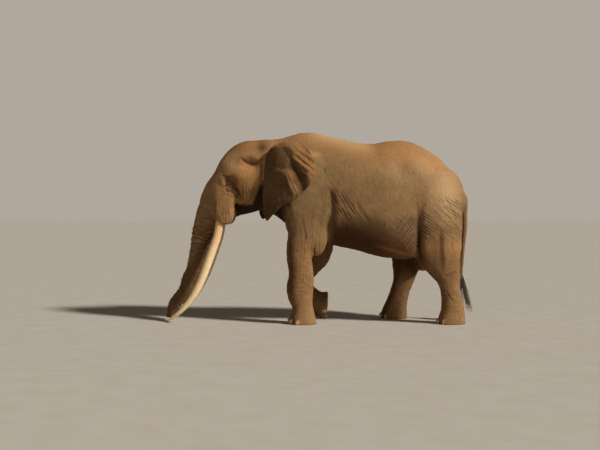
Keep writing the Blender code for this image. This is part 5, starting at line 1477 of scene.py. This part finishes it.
def eye_finish():
    f = Finish("eye", 0.06, 0.6)
    angle = f.stored("angle")
    flecks = f.noise(f.scaled(f.place(), (900.0, 900.0, 900.0)), 1.0, 3.0)
    iris = f.mix(f.span(flecks, 0.35, 0.65), rgb(0.085, 0.040, 0.014), rgb(0.210, 0.105, 0.038))
    white = rgb(0.060, 0.038, 0.026)
    colour = f.mix(f.span(angle, 0.52, 0.58), iris, rgb(0.014, 0.008, 0.005))
    colour = f.mix(f.span(angle, 0.62, 0.72), colour, white)
    colour = f.mix(f.span(angle, 0.27, 0.22), colour, rgb(0.003, 0.003, 0.003))
    f.link(colour, "Base Color")
    f.shader.inputs["Coat Weight"].default_value = 0.6
    f.shader.inputs["Coat Roughness"].default_value = 0.03
    return f.material


def nail_finish():
    f = Finish("nail", 0.55, 0.35)
    at = f.place()
    grain = f.noise(f.scaled(at, (14.0, 14.0, 60.0)), 1.0, 4.0)
    dirt = f.noise(at, 18.0, 4.0)
    colour = f.mix(f.span(grain, 0.35, 0.65), rgb(0.36, 0.25, 0.145), rgb(0.50, 0.37, 0.235))
    colour = f.mix(f.span(dirt, 0.45, 0.70, 0.0, 0.8), colour, rgb(0.34, 0.175, 0.075))
    colour = f.mix(f.math("MULTIPLY", f.span(f.stored("run"), 0.3, 1.0), 0.6), colour, rgb(0.22, 0.125, 0.06))
    f.link(colour, "Base Color")
    f.link(f.bump(grain, 0.4, 0.0010), "Normal")
    return f.material


def hair_finish():
    f = Finish("hair", 0.55, 0.35)
    run = f.stored("run")
    patch = f.noise(f.place(), 30.0, 3.0)
    colour = f.mix(f.span(patch, 0.35, 0.65), rgb(0.040, 0.031, 0.023), rgb(0.085, 0.066, 0.048))
    colour = f.mix(f.math("MULTIPLY", run, 0.45), colour, rgb(0.19, 0.125, 0.066))
    f.link(colour, "Base Color")
    return f.material


def floor_finish():
    f = Finish("floor", 0.9, 0.1)
    grain = f.noise(f.place(), 2.5, 4.0)
    f.link(f.mix(f.span(grain, 0.3, 0.7), rgb(0.47, 0.43, 0.375), rgb(0.51, 0.47, 0.415)), "Base Color")
    return f.material


# ------------------------------------------------------------------ put together
def patch(p, x, z, wide, tall):
    return np.exp(-(((p[:, 0] - x) / wide) ** 2) - (((p[:, 2] - z) / tall) ** 2))


# x, z, half width, half height and strength of the dark skin round the eye, with painted shade in its socket and on the
# temple
SOCKET_SHADE = [
    (-1.285, 2.555, 0.045, 0.055, 0.10), (-1.225, 2.480, 0.055, 0.065, 0.32), (-1.155, 2.385, 0.078, 0.062, 0.42),
    (-1.145, 2.300, 0.070, 0.055, 0.34), (-1.085, 2.290, 0.060, 0.055, 0.22), (-1.055, 2.220, 0.062, 0.055, 0.30),
    (-1.030, 2.800, 0.060, 0.090, 0.20),
]


def markings(p, n, w):
    """Where the red dust lies, where it is pale, and painted light and shade: painted shade and shadow darken the hide,
    and painted light brightens places that lie in shade.
    """
    x, y, z = p.T
    side = np.abs(n[:, 1])
    up = n[:, 2]
    dust = np.full(len(p), 0.16)
    dust += 0.55 * ramp(up, 0.25, 0.85) * (1 - w["trunk"])
    dust += 0.30 * w["head"] + 0.02 * w["trunk"]
    dust += 0.42 * patch(p, -0.98, 2.50, 0.22, 0.24) * side + 0.30 * patch(p, -1.12, 2.86, 0.30, 0.20)
    dust += 0.30 * patch(p, 1.95, 2.78, 0.55, 0.22) + 0.25 * patch(p, 2.35, 2.30, 0.30, 0.40) * side
    dust += 0.50 * ramp(z, 1.62, 1.28) * w["body"] * ramp(x, 0.3, 0.7)
    dust += 0.22 * (w["fore_left"] + w["fore_right"] + w["hind_left"] + w["hind_right"])
    dust -= 0.14 * patch(p, 0.25, 2.25, 0.35, 0.50) * side
    # pale dust along the top of the back and on the rump's side; painted light on the lifted forefoot's sole, on the
    # forehead and on the hollow before the hip
    pale = 0.55 * ramp(up, 0.55, 0.95) * w["body"] * ramp(x, 0.0, 0.4) * ramp(x, 1.4, 1.0)
    pale += 0.80 * patch(p, 0.72, 0.28, 0.14, 0.22) * (y > 0.1) + 0.46 * patch(p, -1.17, 2.84, 0.16, 0.18)
    pale += 0.85 * patch(p, 2.46, 2.20, 0.27, 0.52) * side + 0.22 * patch(p, 1.55, 2.62, 0.30, 0.18) * side + 0.42 * patch(p, 1.98, 2.56, 0.26, 0.22) * side
    # painted shade on the body's undersides, and a painted band of shade down the lower flank and belly
    shade = 0.26 * ramp(up, -0.05, -0.75) * w["body"]
    behind = ramp(x, 1.25, 1.75)
    shade += (0.76 - 0.20 * behind) * ramp(z, 2.00 - 0.22 * behind, 1.64 - 0.26 * behind) * w["body"] * ramp(x, 0.40, 0.62) * ramp(x, 2.15, 1.95)
    # painted highlight: a lighter line along the belly's lower edge, as if lit from the ground
    rim = 1.306 - 0.27 * (x - 1.40)
    shade -= 0.34 * bump(z - rim, 0.030) * ramp(x, 1.15, 1.50) * ramp(x, 2.02, 1.94) * w["body"]
    # painted shadow under the jaw, down the throat, behind the tusk's sheath: darker, and with less dust
    jaw = ramp(z, 2.06, 1.99) * ramp(x, -1.13, -1.08) * ramp(x, -0.50, -0.62) * (1 - w["trunk"])
    edge = np.interp(z, (1.90, 2.04, 2.15, 2.27, 2.40), (-0.90, -0.826, -0.776, -0.735, -0.66))
    throat = ramp(x - edge, -0.02, 0.05) * ramp(x, -0.20, -0.40) * ramp(z, 2.48, 2.30)
    shade += 0.95 * np.maximum(jaw, throat)
    dust -= 0.70 * np.maximum(jaw, throat)
    # painted shade and shadow: the socket and temple, under the ear's top, the neck in front of the ear and the front
    # of the tusk's sheath
    for px, pz, wide, tall, much in SOCKET_SHADE:
        shade += 1.80 * much * side * patch(p, px, pz, wide, tall)
    shade += 0.42 * side * patch(p, -0.80, 2.73, 0.16, 0.055) + 0.58 * patch(p, -0.650, 3.01, 0.085, 0.10)
    shade += 0.10 * side * patch(p, -0.66, 2.50, 0.05, 0.30) + 0.32 * side * patch(p, -1.24, 2.02, 0.13, 0.20)
    # painted shadow on the trunk below a slanting line, darker towards its end
    lower = (z - 1.69) - 1.356 * (x + 1.45)
    shade += w["trunk"] * (0.02 + 0.54 * ramp(lower, 0.06, -0.14) * ramp(z, 1.90, 1.60) + 0.02 * ramp(z, 1.1, 0.7))
    # painted shade on the chest where it faces forward, in the recess before the thigh, in a thigh fold, on the cheek
    # and on top of the head
    shade += 0.40 * patch(p, -0.20, 1.75, 0.20, 0.30) * ramp(n[:, 0], 0.0, -0.6)
    shade += 0.70 * side * patch(p, 2.040, 1.36, 0.062, 0.44) + 0.18 * side * patch(p, 2.37, 1.45, 0.06, 0.25)
    shade += 0.58 * side * patch(p, -0.90, 2.22, 0.19, 0.19) + 0.38 * w["head"] * ramp(z, 2.88, 3.02)
    # painted shade on the legs' forward faces, the hind legs' middle, the flank and shoulder, the thigh and the
    # standing foreleg's front
    legs = w["fore_left"] + w["fore_right"] + w["hind_left"] + w["hind_right"]
    shade += 0.46 * legs * ramp(n[:, 0], -0.10, -0.80)
    shade += 0.20 * (w["hind_left"] + w["hind_right"]) * ramp(z, 1.45, 1.10) * ramp(z, 0.62, 0.85)
    shade += 0.13 * side * patch(p, 1.25, 2.15, 0.85, 0.42) * w["body"] + 0.14 * side * patch(p, 0.15, 1.85, 0.35, 0.40)
    shade += 0.18 * side * patch(p, 2.28, 1.30, 0.20, 0.42)
    shade += 0.56 * side * (y < 0) * patch(p, -0.15, 0.95, 0.105, 0.75) + 0.34 * side * patch(p, 2.37, 1.22, 0.075, 0.30)
    # painted shadow in the groin, on the far hind leg and on the legs' inner faces
    shade += 0.90 * w["body"] * ramp(z, 1.26, 1.12) * ramp(z, 0.70, 0.85) * ramp(x, 1.90, 2.02) * (y > -0.30)
    shade += 0.42 * w["hind_right"] * ramp(z, 0.72, 1.02) * ramp(z, 1.60, 1.40)
    inner = ramp(n[:, 1] * np.sign(y), 0.1, -0.5) * (w["fore_left"] + w["fore_right"] + w["hind_left"] + w["hind_right"])
    shade += 0.45 * inner
    # painted shade that darkens like a crease: under the jaw, down the throat and across the belly
    painted_dark = 0.85 * np.maximum(jaw, throat) + 0.25 * ramp(z, 1.75, 1.45) * w["body"] * ramp(x, 0.5, 0.7) * ramp(x, 1.4, 1.1)
    return dust.clip(0, 1), pale.clip(0, 1), shade.clip(0, 1), painted_dark


def build():
    solids, hollows = body_shapes()
    shapes = solids + toe_masses() + [Limb(TAIL, 0, 0.07, (0.1, 0.02), 0.02)]
    for side in (-1, 1):                     # the ridge that each ear grows from
        root = [(px + 0.012, pz, 0.030, py - 0.030, 0.030, 2.0) for px, py, pz in EAR_ROOT[:4]]
        shapes.append(Limb(root, side, 0.06, (0.03, 0.03), 0.03))
    co, tri, eyes, field = make_skin(shapes, hollows)
    normal = vertex_normals(co, tri)
    move, crease, w, warp = skin_relief(co, normal, eyes)
    names = ("body", "trunk", "head", "tail", "fore_left", "fore_right", "hind_left", "hind_right")
    part = np.argmax(np.stack([w[k] for k in names]), axis=0)
    part_tri = np.array([np.bincount(row, minlength=8).argmax() for row in part[tri[:1]]])
    a, b, c = part[tri[:, 0]], part[tri[:, 1]], part[tri[:, 2]]
    part_tri = np.where(b == c, b, a)
    uv = box_unwrap(co, tri, normal, part_tri) * 0.80
    dust, pale, shade, painted_dark = markings(co, normal, w)
    # the painted shade under the jaw, down the throat and on the belly joins the creases' darkening
    crease = (crease + painted_dark).clip(0, 1)
    skin = co + move
    skin[:, 2] = np.maximum(skin[:, 2], FLOOR)
    skin[co[:, 2] < 1e-6, 2] = FLOOR

    all_co, all_tri, all_uv = [skin], [tri], [uv]
    values = [np.column_stack([crease, dust, pale, shade])]
    count = len(skin)
    for k, side in enumerate((-1, 1)):
        size = ((300, 130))
        eco, etri, place, ecrease = ear_mesh(side, *size)
        spot = np.column_stack([
            0.81 + 0.18 * (place[:, 0] % 1.0),
            0.25 * (2 * k + (place[:, 0] >= 1.0)) + 0.005 + 0.235 * place[:, 1],
        ])
        corner = spot[etri]
        half_count = len(eco) // 2
        wall = (etri >= half_count).any(1) & (etri < half_count).any(1)
        corner[wall] = spot[etri[wall] % half_count]
        all_co.append(eco)
        all_tri.append(etri + count)
        all_uv.append(corner)
        s = place[:, 0] % 1.0
        ex, ez = eco[:, 0], eco[:, 2]
        crest, ridge = line_gap(EAR_CREST, ex, ez), line_gap(EAR_RIDGE, ex, ez)
        # painted shade on the ear: darker on the slopes turned from the key light, in front of the crest, over the
        # upper fold, in the furrow and at the front top, with a band behind the crest left lighter; the lower ear and
        # the inner face are darker too, and there is less dust where the ear is painted dark
        low = ramp(crest, 0.015, -0.035)
        band = 0.025 + 0.095 * ramp(ex, -0.34, -0.20) * ramp(ez, 2.72, 2.60)
        high = ramp(ridge, 0.04, -0.03) * ramp(crest - band, -0.02, 0.035) * ramp(ez, 3.06, 2.97)
        furrow = bump(line_gap(EAR_FURROW, ex, ez), 0.060)
        front = ramp(ex, -0.36, -0.46) * ramp(ez, 3.06, 2.97)
        ear_shaded_parts = np.maximum(np.maximum(low, high), np.maximum(furrow, front))
        dust_e = 0.66 - 0.50 * ear_shaded_parts
        shade_e = 0.05 + 0.18 * bump(crest - 0.07, 0.08) * ramp(ex, -0.4, -0.2) + 0.14 * (1 - ear_shaded_parts) + 0.60 * ear_shaded_parts + 0.08 * high + 0.12 * ramp(eco[:, 2], 2.25, 1.95) + 0.30 * (np.arange(len(eco)) >= half_count)
        values.append(np.column_stack([ecrease, dust_e, 0 * s, shade_e.clip(0, 1)]))
        count += len(eco)
    all_co, all_tri, all_uv, values = (np.concatenate(v) for v in (all_co, all_tri, all_uv, values))
    mesh = mesh_from("skin", all_co, all_tri, all_uv, crease=values[:, 0], dust=values[:, 1], pale=values[:, 2], shade=values[:, 3])
    flesh = [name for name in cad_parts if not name.startswith(("eye_", "tusk_")) and name != "tail_tuft"]
    add("skin", mesh, hide_finish(), "hide", *flesh)

    ivory, nail, wet, hair = ivory_finish(), nail_finish(), eye_finish(), hair_finish()
    for side, word in ((-1, "left"), (1, "right")):
        limb = Limb(TUSK, side, 0.05, (0.01, 0.01), 0.012)
        tco, ttri, run = tube(limb, 56, 7)
        q = np.column_stack([tco[:, 0] * 3, tco[:, 1] * 3, tco[:, 2] * 3])
        n = vertex_normals(tco, ttri)
        chips = bump(cell_walls(np.column_stack([tco[:, 0] / 0.10, tco[:, 1] / 0.03, tco[:, 2] / 0.16]), 201), 0.10)
        tco = tco + n * (0.0012 * rough(q * 2.0, 2, 202) - 0.0010 * chips * ramp(run, 0.55, 0.9))[:, None]
        add("tusk_shape_" + word, mesh_from("tusk", tco, ttri, run=run), ivory, "ivory", "tusk_" + word)

        eye = eyes[0 if side < 0 else 1]
        centre = eye_centre(eye, side)
        ahead, up, out = eye_frame(eye, side)
        gaze = out * 0.97 + ahead * 0.24 - up * 0.06
        gaze /= np.linalg.norm(gaze)
        bm = bmesh.new()
        bmesh.ops.create_icosphere(bm, subdivisions=5, radius=1.0)
        ball = np.array([v.co for v in bm.verts])
        faces = np.array([[v.index for v in face.verts] for face in bm.faces])
        bm.free()
        angle = np.arccos((ball @ gaze).clip(-1, 1))
        swell = 1.0 + 0.075 * ramp(angle, 0.66, 0.15)
        add("eye_shape_" + word, mesh_from("eye", ball * (EYE_RADIUS * swell)[:, None] * 0.985 + centre, faces, angle=angle), wet, "eye", "eye_" + word)

    for foot in FEET:
        nco, ntri, run = nail_mesh(foot)
        add("nails_" + foot[0], mesh_from("nails", nco, ntri, run=run), nail, "nail")

    # ---- hairs
    dice = np.random.default_rng(7)
    mid = skin[tri].mean(1)
    mid_uv = uv.mean(1)
    face_n = np.cross(skin[tri[:, 1]] - skin[tri[:, 0]], skin[tri[:, 2]] - skin[tri[:, 0]])
    area = np.linalg.norm(face_n, axis=1)
    face_n /= np.maximum(area, 1e-12)[:, None]

    def nearest_uv(points, keep):
        at = np.flatnonzero(keep)
        gap = ((points[:, None] - mid[at][None]) ** 2).sum(2)
        return mid_uv[at[gap.argmin(1)]]

    # the tail's tuft: stiff hairs along its front and back edges and at its end
    limb = Limb(TAIL, 0, 0.05, (0.01, 0.01), 0.01)
    count = 520
    z_root = 0.60 + 0.20 * dice.random(count) ** 1.6
    at = np.abs(limb.at[None, :, 2] - z_root[:, None]).argmin(1)
    turn = np.where(dice.random(count) < 0.5, 0.0, math.pi) + dice.normal(0, 0.55, count)
    deep, across = limb.depthwise[at], limb.across[at]
    sign = np.sign(deep[:, :1])
    way_out = deep * sign * np.cos(turn)[:, None] + across * np.sin(turn)[:, None]
    root = limb.at[at] + way_out * (limb.size[at, :1] * 0.93)
    length = np.minimum(0.20 + 0.34 * dice.random(count), (root[:, 2] - 0.10) * 1.02)
    way = np.column_stack([np.zeros(count), np.zeros(count), -np.ones(count)]) + way_out * (0.16 + 0.26 * dice.random(count))[:, None]
    drift = np.column_stack([0.06 + 0.18 * ramp(z_root, 0.80, 0.60) + dice.normal(0, 0.06, count), dice.normal(0, 0.05, count), -0.55 + 0 * z_root])
    keep = (mid[:, 0] > 2.70) & (mid[:, 2] < 1.1)
    hco, htri, run, patch_uv = hairs(root, way, length, 0.0016 + 0.0010 * dice.random(count), drift, nearest_uv(root, keep), 4, 8)
    add("tail_hairs", mesh_from("tail_hairs", hco, htri, patch_uv, run=run), hair, "hair", "tail_tuft")

    # lashes
    for side, word, eye in ((-1, "left", eyes[0]), (1, "right", eyes[1])):
        ahead, up, out = eye_frame(eye, side)
        centre = eye_centre(eye, side)
        rows = []
        for where, count, long in ((1, 54, 0.050), (-1, 26, 0.026)):
            a = np.linspace(-0.92, 0.92, count) * EYE_HALF_LONG + dice.normal(0, 0.0003, count)
            b = np.where(where > 0, EYE_UP, -EYE_DOWN) * (1 - (a / EYE_HALF_LONG) ** 2) + where * (0.0026 + 0.0012 * dice.random(count))
            h = np.sqrt((EYE_RADIUS + 0.0030) ** 2 - a**2 - b**2) - 0.0010
            root = centre + a[:, None] * ahead + b[:, None] * up + h[:, None] * out
            way = out * 1.0 + up * (0.05 * where) + ahead * 0.25 + (a / EYE_HALF_LONG * 0.45)[:, None] * ahead + dice.normal(0, 0.08, (count, 3))
            rows.append((root, way, long * (0.75 + 0.5 * dice.random(count)) * (1 - 0.35 * np.abs(a / EYE_HALF_LONG))))
        root, way, length = (np.concatenate(v) for v in zip(*rows))
        fall = np.tile([[-0.35, 0.0, -0.95]], (len(root), 1))
        keep = ((mid - centre) ** 2).sum(1) < 0.06**2
        hco, htri, run, patch_uv = hairs(root, way, length, np.full(len(root), 0.00055), fall, nearest_uv(root, keep), 3, 6)
        add("lashes_" + word, mesh_from("lashes", hco, htri, patch_uv, run=run), hair, "hair")

    # sparse bristles: crown, back, chin, trunk, thin over the rest
    density = 0.05 + 0.8 * patch(mid, -1.0, 3.0, 0.25, 0.2) + 1.2 * patch(mid, -1.10, 1.90, 0.18, 0.12)
    density += 0.45 * (w["trunk"][tri[:, 0]] > 0.5) + 0.35 * patch(mid, 1.2, 3.15, 1.2, 0.12)
    density *= (mid[:, 2] > 0.35) & (shade[tri[:, 0]] < 0.9)
    chance = density * area
    count = 3400
    pick = np.searchsorted(np.cumsum(chance) / chance.sum(), dice.random(count))
    root = mid[pick] - face_n[pick] * 0.001
    way = face_n[pick] + np.column_stack([np.full(count, 0.35), np.zeros(count), np.full(count, -0.35)]) + dice.normal(0, 0.25, (count, 3))
    hco, htri, run, patch_uv = hairs(root, way, 0.018 + 0.030 * dice.random(count), np.full(count, 0.00050), np.tile([[0.15, 0, -0.45]], (count, 1)), mid_uv[pick], 3, 3)
    add("bristles", mesh_from("bristles", hco, htri, patch_uv, run=run), hair, "hair")


# ---------------------------------------------------------------------- stage
KEY_FROM = (0.698, -0.387, 0.602)
KEY_POWER = 4.0


def area_light(name, at, toward, size, power, colour=(1, 1, 1)):
    light = bpy.data.lights.new(name, "AREA")
    light.shape, light.size, light.energy, light.color = "DISK", size, power, colour
    ob = bpy.data.objects.new(name, light)
    bpy.context.scene.collection.objects.link(ob)
    ob.location = at
    ob.rotation_euler = (Vector(toward) - Vector(at)).to_track_quat("-Z", "Y").to_euler()
    return ob


def stage():
    scene = bpy.context.scene
    bm = bmesh.new()
    bmesh.ops.create_grid(bm, x_segments=4, y_segments=4, size=70.0)
    mesh = bpy.data.meshes.new("floor")
    bm.to_mesh(mesh)
    bm.free()
    mesh.transform(Matrix.Translation((0, 0, -0.001)))
    floor = bpy.data.objects.new("floor", mesh)
    scene.collection.objects.link(floor)
    mesh.materials.append(floor_finish())

    sun = bpy.data.lights.new("key", "SUN")
    sun.energy, sun.angle, sun.color = KEY_POWER, 0.13, (1.0, 0.965, 0.90)
    ob = bpy.data.objects.new("key", sun)
    scene.collection.objects.link(ob)
    ob.rotation_euler = Vector(KEY_FROM).to_track_quat("Z", "Y").to_euler()
    area_light("fill", (-10.0, -24.0, 9.0), (0.0, 0.0, 1.8), 8.0, 250.0, (1.0, 0.92, 0.80))
    # the room: pale round the horizon, dimmer overhead
    world = bpy.data.worlds.new("studio")
    world.use_nodes = True
    tree = world.node_tree
    way = tree.nodes.new("ShaderNodeTexCoord")
    split = tree.nodes.new("ShaderNodeSeparateXYZ")
    level = tree.nodes.new("ShaderNodeMapRange")
    level.interpolation_type = "SMOOTHSTEP"
    level.inputs["From Min"].default_value, level.inputs["From Max"].default_value = 0.16, 0.50
    level.inputs["To Min"].default_value, level.inputs["To Max"].default_value = 0.46, 0.07
    tree.links.new(way.outputs["Generated"], split.inputs[0])
    tree.links.new(split.outputs["Z"], level.inputs["Value"])
    tint = tree.nodes.new("ShaderNodeMix")
    tint.data_type = "RGBA"
    tint.inputs["A"].default_value, tint.inputs["B"].default_value = rgb(0.95, 0.80, 0.62), rgb(0.94, 0.91, 0.88)
    tree.links.new(level.outputs[0], tint.inputs["Factor"])
    tree.links.new(tint.outputs["Result"], tree.nodes["Background"].inputs["Color"])
    tree.links.new(level.outputs[0], tree.nodes["Background"].inputs["Strength"])
    scene.world = world

    camera = bpy.data.cameras.new("camera")
    camera.lens, camera.sensor_width, camera.sensor_fit = 1031 / 600 * 36, 36, "HORIZONTAL"
    camera.clip_end = 300
    ob = bpy.data.objects.new("camera", camera)
    scene.collection.objects.link(ob)
    ob.location = (BODY_X, -18.0, 2.2)
    ob.rotation_euler = (math.radians(90 - 1.667), 0.0, 0.0)
    scene.camera = ob
    scene.view_settings.view_transform = "Standard"


build()
stage()
